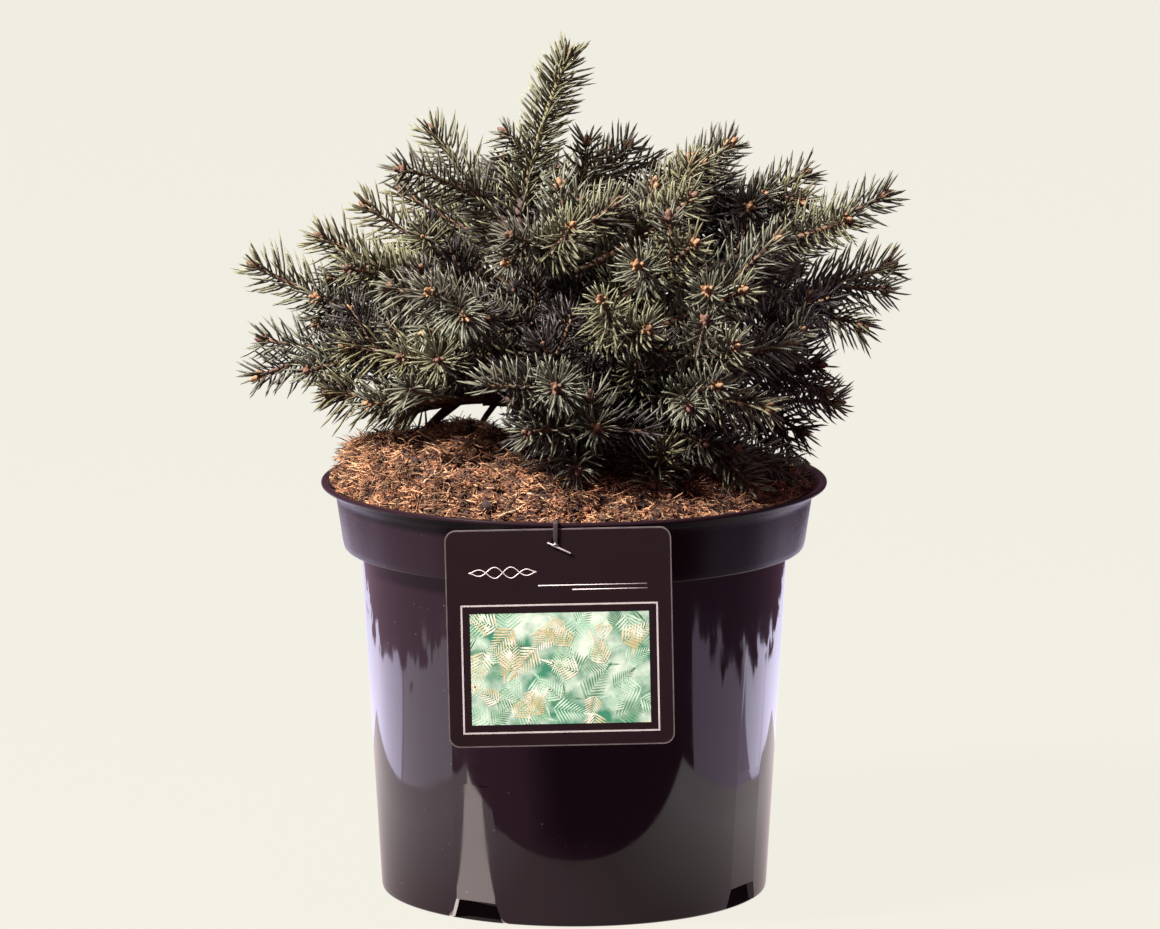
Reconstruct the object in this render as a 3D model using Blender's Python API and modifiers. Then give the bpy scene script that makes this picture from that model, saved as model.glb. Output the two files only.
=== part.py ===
"""Dwarf globe blue spruce in its nursery pot: one closed solid for each named part.

Metres, +Z up, the front faces -Y. The origin is on the pot's axis at its flat underside.
The crown is worked out from one row for each branch: where its tip stands, seen from the
crown's hub, and how its first whorl of side shoots is rolled about it.
"""

import math
import random

import bmesh
import bpy
from mathutils import Matrix, Quaternion, Vector
from mathutils.kdtree import KDTree

MM = 0.001
GAP = 0.3 * MM
UP = Vector((0.0, 0.0, 1.0))

# Pot, turned on its axis
POT_STEPS = 36
LIP_RADIUS = 115.0 * MM
LIP_TOP = 188.5 * MM
COLLAR_TOP_RADIUS = 108.6 * MM
COLLAR_LOW_RADIUS = 104.8 * MM
COLLAR_LOW = 158.0 * MM
BODY_TOP_RADIUS = 97.1 * MM
FOOT_RADIUS = 88.0 * MM
WALL = 2.2 * MM
FLOOR_TOP = 12.2 * MM
CHANNEL_TOP = 10.0 * MM
CHANNEL_INNER = 59.0 * MM
CHANNEL_OUTER = 85.0 * MM
NOTCH_ANGLES = (-120.0, -30.0, 60.0, 150.0)
NOTCH_WIDTH = 28.0 * MM
NOTCH_HEIGHT = 9.0 * MM
PANEL_HALF_WIDTH = 10.0 * MM
PANEL_TOP = 62.0 * MM

# Growing mix, heaped higher on the left
SOIL_EDGE_RADIUS = 105.6 * MM
SOIL_EDGE_TOP = 183.5 * MM
SOIL_HEAP = 17.0 * MM
SOIL_SIDE_HEAP = 11.0 * MM
SOIL_FALL = 10
SOIL_HIGH_SIDE = math.radians(170.0)
SOIL_CLEAR = 0.4 * MM
SEAT_RADIUS = 18.0 * MM
SEAT_TOP = SOIL_EDGE_TOP + SOIL_HEAP
SOIL_RINGS = (18.0, 40.0, 62.0, 80.0, 92.0, 98.5, 103.0)

# Hanging card and the strap that holds it
TAG_SIZE = (101.5 * MM, 0.8 * MM, 98.0 * MM)
TAG_CENTRE = Vector((-6.2 * MM, -(LIP_RADIUS + 0.75 * MM), 137.6 * MM))
TAG_TILT = math.radians(-1.2)
TAG_CORNER = 5.0 * MM
TIE_X = -8.1 * MM
TIE_WIDTH = 2.0 * MM
TIE_THICK = 0.7 * MM
SLOT_SIZE = (3.4 * MM, 6.0 * MM, 2.4 * MM)
SLOT_Z = 180.9 * MM

# Trunk
TRUNK_FOOT = Vector((2.0 * MM, 4.0 * MM, SEAT_TOP + GAP))
TRUNK_BEND = Vector((-4.0 * MM, 4.0 * MM, 255.0 * MM))
TRUNK_FORK = Vector((-26.0 * MM, 2.0 * MM, 308.0 * MM))
TRUNK_FOOT_RADIUS = 9.2 * MM
TRUNK_FORK_RADIUS = 3.6 * MM
TRUNK_FLARE = 5.0 * MM
TRUNK_FLARE_HEIGHT = 6.0 * MM
TRUNK_SIDES = 8

# Crown
HUB = Vector((0.0, 0.0, 216.0 * MM))
LOWEST_FORK = 211.5 * MM
HIGHEST_FORK = 298.0 * MM
BOUGH_SIDES = 6
BOUGH_ROOT_RADIUS = 3.1 * MM
BOUGH_TIP_RADIUS = 2.2 * MM
STEM_RADIUS = 2.5 * MM
SHOOT_TIP_RADIUS = 1.7 * MM
MASS_SHARE = 0.62
MASS_LENGTH = 82.0 * MM
BARE_ROOT = 12.0 * MM
BARE_SIDE = 16.0 * MM
TIP_NEEDLES = 10.5 * MM
FIRST_WHORL = 43.0 * MM
SECOND_WHORL = 76.0 * MM
SIDE_LENGTH = 43.0 * MM
SIDE_ANGLE = math.radians(50.0)
SIDE_CLEAR = 8.5 * MM
STEM_CLEAR = 7.0 * MM
ROOT_SHIFTS = (0.0, 4.0, -4.0, 8.0, -8.0, 12.0, -12.0, 17.0, -17.0, 22.0, -22.0)
RING_STEP = 17.0 * MM
NEEDLE = 14.5 * MM
NEEDLE_LEAN = math.radians(58.0)
TIP_LEAN = math.radians(27.0)
MASS_TRIES = 6
SPACE_MARGIN = 1.2 * MM
LIMB_MARGIN = 0.9 * MM

# name, azimuth, rise and reach of the tip from the hub (degrees, degrees, mm),
# sag of the stem's middle (mm), roll of the first whorl (degrees), length of bough or none
BRANCHES = (
    ("top_left", 164, 62, 155, 6, 70, False),
    ("left_shoulder", 161, 42, 146, 8, 20, False),
    ("left_upper", -175, 36, 152, 10, 40, False),
    ("left_middle", 180, 26, 170, 22, 0, True),
    ("left_low", -174, 15, 155, 6, 30, True),
    ("left_front_low", -150, 8, 116, 4, 60, True),
    ("left_skirt", 176, -1, 92, -12, 0, True),
    ("top_right", 7, 59, 152, 12, 30, False),
    ("top_back", 39, 73, 135, 6, 80, False),
    ("right_shoulder", 15, 44, 163, 10, 20, False),
    ("right_upper", -4, 36, 184, 14, 0, True),
    ("right_middle", 5, 25, 168, 8, 100, True),
    ("right_front_low", -16, 14, 127, 5, 100, True),
    ("right_low", 7, 2, 130, -4, 30, True),
    ("right_skirt", -36, -4, 98, -6, 60, False),
    ("front_top", -81, 70, 118, 4, 50, False),
    ("front_high", -89, 56, 124, 20, 90, False),
    ("front_right_top", -46, 54, 142, 14, 10, False),
    ("front_right_high", -56, 43, 142, 8, 65, False),
    ("front_right_middle", -48, 32, 142, 8, 0, False),
    ("front_right", -53, 22, 137, 8, 40, True),
    ("front_middle", -70, 29, 121, 18, 0, False),
    ("front_left_high", -129, 34, 132, 8, 110, True),
    ("front_left_low", -138, 20, 119, 5, 80, False),
    ("front_low", -94, 16, 123, 6, 95, True),
    ("front_right_low", -57, 15, 129, 4, 20, True),
    ("front_skirt", -84, 7, 106, -2, 90, False),
    ("front_skirt_low", -89, -7, 98, -8, 75, False),
    ("back_high", 96, 58, 132, 8, 30, False),
    ("back_left_high", 128, 42, 142, 8, 60, False),
    ("back_right_high", 44, 46, 150, 8, 10, False),
    ("back_left", 142, 20, 150, 8, 80, True),
    ("back_middle", 92, 28, 146, 8, 40, True),
    ("back_right", 42, 22, 156, 8, 20, True),
    ("back_low_left", 118, 8, 128, 2, 50, True),
    ("back_low_right", 68, 8, 130, 2, 70, True),
)

# For these branches, each side shoot: how far before the stem's end it leaves (mm), and its own
# end's azimuth, rise and reach from the hub; the other branches' shoots stand in whorls
STEERED = {
    "leader": ((64, 180, 77, 133),),
    "top_left": ((54, -171, 56, 139),),
    "left_shoulder": ((58, 172, 52, 110),),
    "left_upper": ((68, -166, 35, 126),),
    "left_middle": ((66, -175, 26, 129),),
    "left_low": ((50, -173, 9, 144), (74, -161, 13, 128)),
    "left_front_low": ((48, -160, 9, 117), (68, -134, 14, 108)),
    "left_skirt": ((44, -162, 5, 76),),
    "front_left_high": ((48, -148, 35, 118), (38, -117, 30, 121), (67, -137, 29, 102)),
    "front_left_low": ((50, -124, 21, 115), (64, -160, 20, 114)),
    "top_back": ((46, 58, 85, 125), (38, 44, 66, 122)),
    "top_right": ((60, -10, 64, 131),),
    "right_shoulder": ((60, 0, 50, 133), (38, 0, 44, 143)),
    "right_upper": ((72, -18, 37, 160),),
    "right_middle": ((50, 0, 23, 152), (76, -3, 19, 136)),
    "right_front_low": ((60, -26, 23, 122), (42, -10, 8, 115)),
    "right_low": ((66, 0, -3, 103),),
    "right_skirt": ((46, -14, -11, 102), (70, -49, 0, 88), (34, -35, -13, 100), (77, -65, -11, 85)),
    "front_high": ((52, -119, 58, 107), (42, -69, 65, 115)),
    "front_right_top": ((52, -40, 67, 119), (36, -27, 64, 135)),
    "front_right_high": ((56, -72, 42, 124), (34, -60, 50, 132)),
    "front_right_middle": ((52, -30, 41, 138), (36, -56, 34, 128)),
    "front_right": ((50, -58, 28, 124), (64, -33, 21, 122)),
    "front_middle": ((52, -82, 37, 112),),
    "front_low": ((52, -110, 16, 115), (72, -100, 31, 88)),
    "front_right_low": ((54, -45, 9, 122), (44, -62, 11, 110)),
    "front_skirt": ((48, -101, 6, 103), (38, -68, 5, 90)),
    "front_skirt_low": (),
    "front_top": ((36, -104, 77, 111),),
}
LEADER_TIP = Vector((1.3 * MM, 0.0, 391.0 * MM))
LEADER_BEND = Vector((-17.0 * MM, 0.0, 350.0 * MM))
LEADER_ROLL = 60

BARK = (0.075, 0.046, 0.034)
NEEDLE_GREEN = (0.16, 0.20, 0.14)
COIR = (0.30, 0.14, 0.06)
POT_BLACK = (0.013, 0.008, 0.012)
TAG_BROWN = (0.022, 0.011, 0.010)


def clear_scene():
    """Take out every object the scene opens with."""
    for item in list(bpy.data.objects):
        bpy.data.objects.remove(item, do_unlink=True)


def collection(name):
    """A collection of that name, linked to the scene."""
    found = bpy.data.collections.new(name)
    bpy.context.scene.collection.children.link(found)
    return found


def material(name, colour, roughness):
    """One Principled material."""
    made = bpy.data.materials.new(name)
    made.use_nodes = True
    shader = made.node_tree.nodes["Principled BSDF"]
    shader.inputs["Base Color"].default_value = (*colour, 1.0)
    shader.inputs["Roughness"].default_value = roughness
    return made


def place(bm, name, group):
    """The mesh as a new object in a collection."""
    mesh = bpy.data.meshes.new(name)
    bm.to_mesh(mesh)
    bm.free()
    made = bpy.data.objects.new(name, mesh)
    group.objects.link(made)
    return made


def apply_modifiers(item):
    """Make the evaluated mesh the object's own."""
    bpy.context.view_layer.update()
    graph = bpy.context.evaluated_depsgraph_get()
    mesh = bpy.data.meshes.new_from_object(item.evaluated_get(graph))
    item.modifiers.clear()
    old = item.data
    item.data = mesh
    bpy.data.meshes.remove(old)


def turned(name, profile, group):
    """A solid turned from a profile of (radius, height) about the Z axis."""
    bm = bmesh.new()
    ring = [bm.verts.new((radius, 0.0, height)) for radius, height in profile]
    for first, second in zip(ring, ring[1:]):
        bm.edges.new((first, second))
    made = place(bm, name, group)
    screw = made.modifiers.new("Turn", "SCREW")
    screw.steps = POT_STEPS
    screw.render_steps = POT_STEPS
    screw.use_merge_vertices = True
    screw.merge_threshold = 0.00001
    screw.use_smooth_shade = False
    return made


def wall_inner(height):
    """Inner radius of the pot's wall at a height."""
    if height > COLLAR_LOW:
        share = (height - COLLAR_LOW) / (LIP_TOP - 4.7 * MM - COLLAR_LOW)
        return COLLAR_LOW_RADIUS + share * (COLLAR_TOP_RADIUS - COLLAR_LOW_RADIUS) - WALL
    share = height / COLLAR_LOW
    return FOOT_RADIUS + share * (BODY_TOP_RADIUS - FOOT_RADIUS) - WALL


def pot_profile():
    """From the middle of the floor up the inside, over the lip and down the outside."""
    step = COLLAR_LOW + WALL
    neck = LIP_TOP - 4.7 * MM
    return (
        (0.0, 2.5 * MM),
        (CHANNEL_INNER - 2.2 * MM, 2.5 * MM),
        (CHANNEL_INNER - 0.6 * MM, FLOOR_TOP),
        (wall_inner(FLOOR_TOP), FLOOR_TOP),
        (BODY_TOP_RADIUS - WALL, step),
        (wall_inner(step), step),
        (wall_inner(neck), neck),
        (LIP_RADIUS - 1.5 * MM, LIP_TOP),
        (LIP_RADIUS - 0.4 * MM, LIP_TOP),
        (LIP_RADIUS, LIP_TOP - 0.5 * MM),
        (LIP_RADIUS, LIP_TOP - 1.8 * MM),
        (COLLAR_TOP_RADIUS, neck - 1.2 * MM),
        (COLLAR_LOW_RADIUS, COLLAR_LOW + 1.0 * MM),
        (COLLAR_LOW_RADIUS - 1.0 * MM, COLLAR_LOW),
        (BODY_TOP_RADIUS, COLLAR_LOW),
        (FOOT_RADIUS, 1.0 * MM),
        (FOOT_RADIUS - 0.8 * MM, 0.0),
        (CHANNEL_OUTER, 0.0),
        (CHANNEL_OUTER, CHANNEL_TOP),
        (CHANNEL_INNER + 1.6 * MM, CHANNEL_TOP),
        (CHANNEL_INNER, 0.0),
        (0.0, 0.0),
    )


def box(name, size, matrix, group, top_share=1.0):
    """A box, its top narrowed along X, standing on the matrix's origin."""
    bm = bmesh.new()
    bmesh.ops.create_cube(bm, size=1.0)
    for vert in bm.verts:
        share = top_share if vert.co.z > 0.0 else 1.0
        vert.co = Vector((vert.co.x * size[0] * share, vert.co.y * size[1], vert.co.z * size[2]))
    bmesh.ops.transform(bm, matrix=matrix, verts=bm.verts)
    made = place(bm, name, group)
    made.hide_render = True
    made.display_type = "WIRE"
    return made


def cut_pot(pot, cutters):
    """Four drain notches through the foot, each under a shallow flat panel."""
    lean = math.atan2(BODY_TOP_RADIUS - FOOT_RADIUS, COLLAR_LOW)
    for number, angle in enumerate(NOTCH_ANGLES):
        turn = Matrix.Rotation(math.radians(angle + 90.0), 4, "Z")
        notch = turn @ Matrix.Translation((0.0, -FOOT_RADIUS, NOTCH_HEIGHT / 2.0 - 1.0 * MM))
        size = (NOTCH_WIDTH, 14.0 * MM, NOTCH_HEIGHT + 2.0 * MM)
        tools = [box(f"notch_{number}", size, notch, cutters, 0.74)]
        depth = FOOT_RADIUS - math.sqrt(FOOT_RADIUS**2 - PANEL_HALF_WIDTH**2)
        centre = (0.0, -(FOOT_RADIUS - depth + 5.0 * MM), 0.0)
        panel = turn @ Matrix.Translation(centre) @ Matrix.Rotation(lean, 4, "X")
        panel = panel @ Matrix.Translation((0.0, 0.0, PANEL_TOP / 2.0 + 1.0 * MM))
        size = (3.0 * PANEL_HALF_WIDTH, 10.0 * MM, PANEL_TOP)
        tools.append(box(f"panel_{number}", size, panel, cutters))
        for tool in tools:
            cut = pot.modifiers.new(tool.name, "BOOLEAN")
            cut.operation = "DIFFERENCE"
            cut.solver = "EXACT"
            cut.object = tool


def soil_top(x, y):
    """Height of the growing mix at a place: a heap, higher on its left."""
    radius = math.hypot(x, y)
    side = math.cos(math.atan2(y, x) - SOIL_HIGH_SIDE) * min(1.0, radius / (45.0 * MM))
    heap = SOIL_HEAP + SOIL_SIDE_HEAP * side
    rough = 1.2 * MM * math.sin(x / (7.0 * MM) + 1.3) * math.sin(y / (8.0 * MM) + 0.4)
    fall = 1.0 - min(1.0, radius / SOIL_EDGE_RADIUS) ** SOIL_FALL
    if radius <= SEAT_RADIUS * 1.02:
        return SEAT_TOP
    return SOIL_EDGE_TOP + (heap + rough) * fall


def make_soil(group):
    """The potful of mix, clear of the pot's wall, with a flat seat for the trunk."""
    step = COLLAR_LOW + WALL + SOIL_CLEAR
    floor = FLOOR_TOP + GAP
    profile = [(0.0, SEAT_TOP)]
    profile += [(ring * MM, SEAT_TOP) for ring in SOIL_RINGS]
    profile += [
        (SOIL_EDGE_RADIUS, SOIL_EDGE_TOP),
        (wall_inner(step) - SOIL_CLEAR, step),
        (BODY_TOP_RADIUS - WALL - SOIL_CLEAR, step),
        (wall_inner(floor) - SOIL_CLEAR, floor),
        (CHANNEL_INNER - 1.3 * MM, floor),
        (CHANNEL_INNER - 3.0 * MM, 2.5 * MM + GAP),
        (0.0, 2.5 * MM + GAP),
    ]
    soil = turned("soil", profile, group)
    apply_modifiers(soil)
    for vert in soil.data.vertices:
        if vert.co.z > SOIL_EDGE_TOP + 0.1 * MM:
            vert.co.z = soil_top(vert.co.x, vert.co.y)
    return soil


def make_tag(group, cutters):
    """A thin card with rounded corners and a slot near its top edge."""
    bm = bmesh.new()
    bmesh.ops.create_cube(bm, size=1.0)
    bmesh.ops.scale(bm, vec=TAG_SIZE, verts=bm.verts)
    through = [edge for edge in bm.edges if abs(edge.verts[0].co.y - edge.verts[1].co.y) > 0.1 * MM]
    bmesh.ops.bevel(bm, geom=through, offset=TAG_CORNER, segments=4, profile=0.5, affect="EDGES")
    turn = Matrix.Translation(TAG_CENTRE) @ Matrix.Rotation(TAG_TILT, 4, "Y")
    bmesh.ops.transform(bm, matrix=turn, verts=bm.verts)
    tag = place(bm, "tag", group)
    where = Matrix.Translation((TIE_X, TAG_CENTRE.y, SLOT_Z))
    cut = tag.modifiers.new("Slot", "BOOLEAN")
    cut.operation = "DIFFERENCE"
    cut.solver = "EXACT"
    cut.object = box("slot", SLOT_SIZE, where, cutters)
    return tag


def make_tie(group):
    """The strap over the lip and into the card's slot, with the small bar across its end."""
    front = LIP_RADIUS + TAG_SIZE[1] + 0.35 * MM + 0.35 * MM
    low = 178.2 * MM
    rest = SLOT_Z - TIE_THICK / 2.0
    outline = [
        (106.9 * MM, LIP_TOP - 3.1 * MM),
        (112.7 * MM, LIP_TOP + 0.5 * MM),
        (115.5 * MM, LIP_TOP + 0.5 * MM),
        (front, LIP_TOP),
        (front, rest + TIE_THICK),
        (LIP_RADIUS - 1.5 * MM, rest + TIE_THICK),
        (LIP_RADIUS - 1.5 * MM, rest),
        (front, rest),
        (front, low),
        (front + TIE_THICK, low),
        (front + TIE_THICK, LIP_TOP + 0.4 * MM),
        (115.7 * MM, LIP_TOP + 1.2 * MM),
        (112.5 * MM, LIP_TOP + 1.2 * MM),
        (106.5 * MM, LIP_TOP - 2.5 * MM),
    ]
    bm = bmesh.new()
    side = bm.faces.new([bm.verts.new((TIE_X - TIE_WIDTH / 2.0, -r, z)) for r, z in outline])
    grown = bmesh.ops.extrude_face_region(bm, geom=[side])
    moved = [item for item in grown["geom"] if isinstance(item, bmesh.types.BMVert)]
    bmesh.ops.translate(bm, vec=(TIE_WIDTH, 0.0, 0.0), verts=moved)
    bmesh.ops.recalc_face_normals(bm, faces=bm.faces)
    tie = place(bm, "tag_tie", group)
    depth = -(front + TIE_THICK / 2.0)
    start = Vector((-11.6 * MM, depth, 180.2 * MM))
    end = Vector((-1.4 * MM, depth, 175.4 * MM))
    bar = place(sweep([start, end], [0.34 * MM, 0.34 * MM], 6), "bar", group)
    fuse(tie, [bar])
    return tie


def frames(points):
    """One turning frame for each point of a path, carried along without twist."""
    tangents = []
    for index, point in enumerate(points):
        before = points[max(0, index - 1)]
        after = points[min(len(points) - 1, index + 1)]
        tangents.append((after - before).normalized())
    side = UP.cross(tangents[0])
    if side.length < 0.05:
        side = Vector((1.0, 0.0, 0.0))
    side.normalize()
    found = []
    for index, tangent in enumerate(tangents):
        if index:
            side = tangents[index - 1].rotation_difference(tangent) @ side
        side = (side - tangent * side.dot(tangent)).normalized()
        found.append((tangent, side, tangent.cross(side)))
    return found


def sweep(points, radii, sides, twist=0.0):
    """A closed tube: one section carried along the points, each ring turned by the twist."""
    bm = bmesh.new()
    bmesh.ops.create_circle(bm, cap_ends=True, radius=1.0, segments=sides)
    bm.faces.ensure_lookup_table()
    cap = bm.faces[0]
    for index, (point, radius, frame) in enumerate(zip(points, radii, frames(points))):
        if index:
            grown = bmesh.ops.extrude_face_region(bm, geom=[cap])
            old = cap
            cap = next(item for item in grown["geom"] if isinstance(item, bmesh.types.BMFace))
            if index > 1 and old.is_valid:
                bmesh.ops.delete(bm, geom=[old], context="FACES_ONLY")
        _, side, over = frame
        for number, loop in enumerate(cap.loops):
            angle = 2.0 * math.pi * number / sides + twist * index
            offset = side * math.cos(angle) + over * math.sin(angle)
            loop.vert.co = point + offset * radius
    bmesh.ops.recalc_face_normals(bm, faces=bm.faces)
    return bm


def bezier(start, bend, end, steps=40):
    """Points along a quadratic curve."""
    found = []
    for index in range(steps + 1):
        t = index / steps
        found.append(start * (1.0 - t) ** 2 + bend * 2.0 * t * (1.0 - t) + end * t * t)
    return found


def length_of(points):
    """Length along a line of points."""
    return sum((b - a).length for a, b in zip(points, points[1:]))


def point_at(points, distance):
    """The place a given way along a line of points."""
    left = max(0.0, distance)
    for first, second in zip(points, points[1:]):
        span = (second - first).length
        if left <= span:
            return first.lerp(second, left / span)
        left -= span
    return points[-1] + (points[-1] - points[-2]).normalized() * left


def stretch(points, start, end, step):
    """The part of a line from start to end along it, at even steps of about that size."""
    count = max(1, round((end - start) / step))
    return [point_at(points, start + (end - start) * index / count) for index in range(count + 1)]


def trunk_line():
    """The trunk's middle line from the seat to its fork."""
    return bezier(TRUNK_FOOT, TRUNK_BEND, TRUNK_FORK)


def trunk_radius(height):
    """The trunk's radius at a height, with the flare at its foot."""
    share = (height - TRUNK_FOOT.z) / (TRUNK_FORK.z - TRUNK_FOOT.z)
    radius = TRUNK_FOOT_RADIUS + (TRUNK_FORK_RADIUS - TRUNK_FOOT_RADIUS) * share**0.8
    return radius + TRUNK_FLARE * math.exp(-(height - TRUNK_FOOT.z) / TRUNK_FLARE_HEIGHT)


def trunk_solid(extra):
    """The trunk as a tapering tube, grown all over by a small amount."""
    line = trunk_line()
    total = length_of(line)
    shares = (0.0, 0.03, 0.08, 0.2, 0.36, 0.52, 0.68, 0.84, 1.0)
    points = [point_at(line, total * share) for share in shares]
    points[0].x = points[1].x
    points[0].y = points[1].y
    grow = extra / math.cos(math.pi / TRUNK_SIDES)
    radii = [trunk_radius(point.z) + grow for point in points]
    if extra:
        points[0].z -= extra
        points[-1] = points[-1] + (points[-1] - points[-2]).normalized() * extra
    return sweep(points, radii, TRUNK_SIDES)


def toward(azimuth, rise):
    """Unit direction of an azimuth and a rise in degrees."""
    flat = math.cos(math.radians(rise))
    turn = math.radians(azimuth)
    return Vector((flat * math.cos(turn), flat * math.sin(turn), math.sin(math.radians(rise))))


def crown_reach(direction):
    """How far the crown goes in a direction: the branch tips near it, weighed by nearness."""
    total = 0.0
    weights = 0.0
    for _, azimuth, rise, reach, _, _, _ in BRANCHES:
        angle = direction.angle(toward(azimuth, rise))
        weight = math.exp(-((angle / math.radians(13.0)) ** 2)) + 0.000001
        total += weight * reach * MM
        weights += weight
    return total / weights


class Branch:
    """One bough or none, the stem that goes on from it, and that stem's side shoots."""

    def __init__(self, name, line, roll, bough):
        self.name = name
        self.line = line
        self.roll = math.radians(roll)
        self.total = length_of(line)
        self.start = 0.0
        if bough:
            self.start = self.total - min(MASS_LENGTH, MASS_SHARE * self.total)
        self.bough = bough
        self.shoots = []

    def stem(self):
        """The line of the mass's stem, short of the tip needles' reach."""
        begin = self.start + (GAP if self.bough else 0.0)
        return stretch(self.line, begin, self.total - TIP_NEEDLES, RING_STEP)

    def axes(self):
        """Every line the mass keeps to, closely sampled."""
        begin = self.start + (GAP if self.bough else 0.0)
        found = stretch(self.line, begin, self.total - TIP_NEEDLES, 2.0 * MM)
        for shoot in self.shoots:
            found += stretch(shoot, 0.0, length_of(shoot), 2.0 * MM)
        return found


def outside_trunk(line):
    """The part of a branch's line that stands out of the trunk, closely sampled."""
    axis = trunk_line()
    found = []
    for point in stretch(line, 0.0, length_of(line), 2.5 * MM):
        near = min(axis, key=lambda other: (other - point).length)
        if (near - point).length > trunk_radius(near.z) - 0.5 * MM:
            found.append(point)
    return found


def room_beside(line, taken):
    """The least distance from a branch's line to the lines already placed."""
    mine = outside_trunk(line)
    return min((point - other).length for other in taken for point in mine)


def plan_branches():
    """The stem lines of all branches, from the trunk to each row's tip.

    A branch leaves the trunk at the height its rise asks for, or as little above or
    below that as lets it pass its neighbours.
    """
    axis = trunk_line()
    lean = (axis[-1] - axis[-2]).normalized()
    start = TRUNK_FORK - lean * 3.0 * MM
    leader = bezier(start, LEADER_BEND, LEADER_TIP)
    found = [Branch("leader", leader, LEADER_ROLL, False)]
    taken = outside_trunk(leader)
    for name, azimuth, rise, reach, sag, roll, bough in BRANCHES:
        share = min(1.0, (rise + 8.0) / 72.0)
        wanted = LOWEST_FORK + (HIGHEST_FORK - LOWEST_FORK) * max(0.0, share)
        tip = HUB + toward(azimuth, rise) * reach * MM
        best = None
        for shift in ROOT_SHIFTS:
            height = min(max(wanted + shift * MM, LOWEST_FORK), HIGHEST_FORK)
            root = min(axis, key=lambda point: abs(point.z - height))
            bend = root.lerp(tip, 0.5) - UP * sag * MM
            line = bezier(root, bend, tip)
            room = room_beside(line, taken)
            if best is None or room > best[0]:
                best = (room, line)
            if room > STEM_CLEAR:
                break
        found.append(Branch(name, best[1], roll, bough))
        taken += outside_trunk(best[1])
    return found


def near_tree(groups, skip):
    """A tree of the sampled lines of every mass but one."""
    points = [point for branch in groups if branch is not skip for point in branch.axes()]
    tree = KDTree(len(points))
    for index, point in enumerate(points):
        tree.insert(point, index)
    tree.balance()
    return tree


def wood_points(branches):
    """The trunk's and boughs' lines with their radii, closely sampled."""
    line = trunk_line()
    found = [(point, trunk_radius(point.z)) for point in stretch(line, 0.0, length_of(line), 1.5 * MM)]
    for branch in branches:
        if branch.bough:
            for point in stretch(branch.line, 0.0, branch.start, 1.5 * MM):
                found.append((point, BOUGH_ROOT_RADIUS))
    return found


def clear_of_pot(point, margin):
    """Whether a place stands clear of the mix, the pot's lip and the card."""
    radius = math.hypot(point.x, point.y)
    if radius < SOIL_EDGE_RADIUS:
        return point.z > soil_top(point.x, point.y) + margin
    if radius < LIP_RADIUS + 1.5 * MM:
        return point.z > LIP_TOP + margin
    return point.z > LIP_TOP + 2.0 * MM


def side_shoot(line, distance, angle, roll, length):
    """A side shoot's line: off the stem at an angle, its end turning up a little."""
    base = point_at(line, distance)
    ahead = point_at(line, distance + 1.0 * MM)
    tangent = (ahead - base).normalized()
    upright = UP - tangent * UP.dot(tangent)
    if upright.length < 0.1:
        upright = Vector((0.0, -1.0, 0.0)) - tangent * -tangent.y
    upright.normalize()
    outward = Quaternion(tangent, roll) @ upright
    first = tangent * math.cos(angle) + outward * math.sin(angle)
    last = (first + UP * 0.22 + tangent * 0.18).normalized()
    middle = base + first * length * 0.5
    return bezier(base, middle, middle + last * length * 0.5, 12)


def steered_shoot(branch, back, end):
    """A side shoot's line to a given end, leaving the stem half along it."""
    base = point_at(branch.line, branch.total - back)
    ahead = point_at(branch.line, branch.total - back + 1.0 * MM)
    span = (end - base).length
    way = ((ahead - base).normalized() + (end - base).normalized()).normalized()
    return bezier(base, base + way * span * 0.5, end, 12)


def grow_sides(branches, wood, seed):
    """The steered side shoots, and then the whorls of the other branches.

    A shoot of a whorl that would leave its mass's space is turned or skipped.
    """
    for branch in branches:
        for back, azimuth, rise, reach in STEERED.get(branch.name, ()):
            end = HUB + toward(azimuth, rise) * reach * MM
            branch.shoots.append(steered_shoot(branch, back * MM, end))
    dice = random.Random(seed)
    limbs = KDTree(len(wood))
    for index, (point, _) in enumerate(wood):
        limbs.insert(point, index)
    limbs.balance()
    for back, turns, length, angle in (
        (FIRST_WHORL, (0.0, 120.0, 240.0), SIDE_LENGTH, SIDE_ANGLE),
        (SECOND_WHORL, (75.0, 285.0), SIDE_LENGTH * 0.95, SIDE_ANGLE * 1.15),
    ):
        for branch in branches:
            if branch.name in STEERED:
                continue
            node = branch.total - back
            if node < branch.start + 3.0 * MM or node < 28.0 * MM:
                continue
            others = near_tree(branches, branch)
            for turn in turns:
                grow = length * dice.uniform(0.9, 1.08)
                open_out = angle * dice.uniform(0.88, 1.1)
                place_side(branch, others, limbs, wood, node, open_out, turn, grow)


def place_side(branch, others, limbs, wood, node, angle, turn, length):
    """Try a side shoot as asked, then rolled and shortened; keep the first that is free."""
    for share in (1.0, 0.85, 0.7):
        for nudge in (0.0, -18.0, 18.0, -36.0, 36.0):
            roll = branch.roll + math.radians(turn + nudge)
            shoot = side_shoot(branch.line, node, angle, roll, length * share)
            if side_is_free(branch, shoot, others, limbs, wood):
                branch.shoots.append(shoot)
                return


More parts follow.
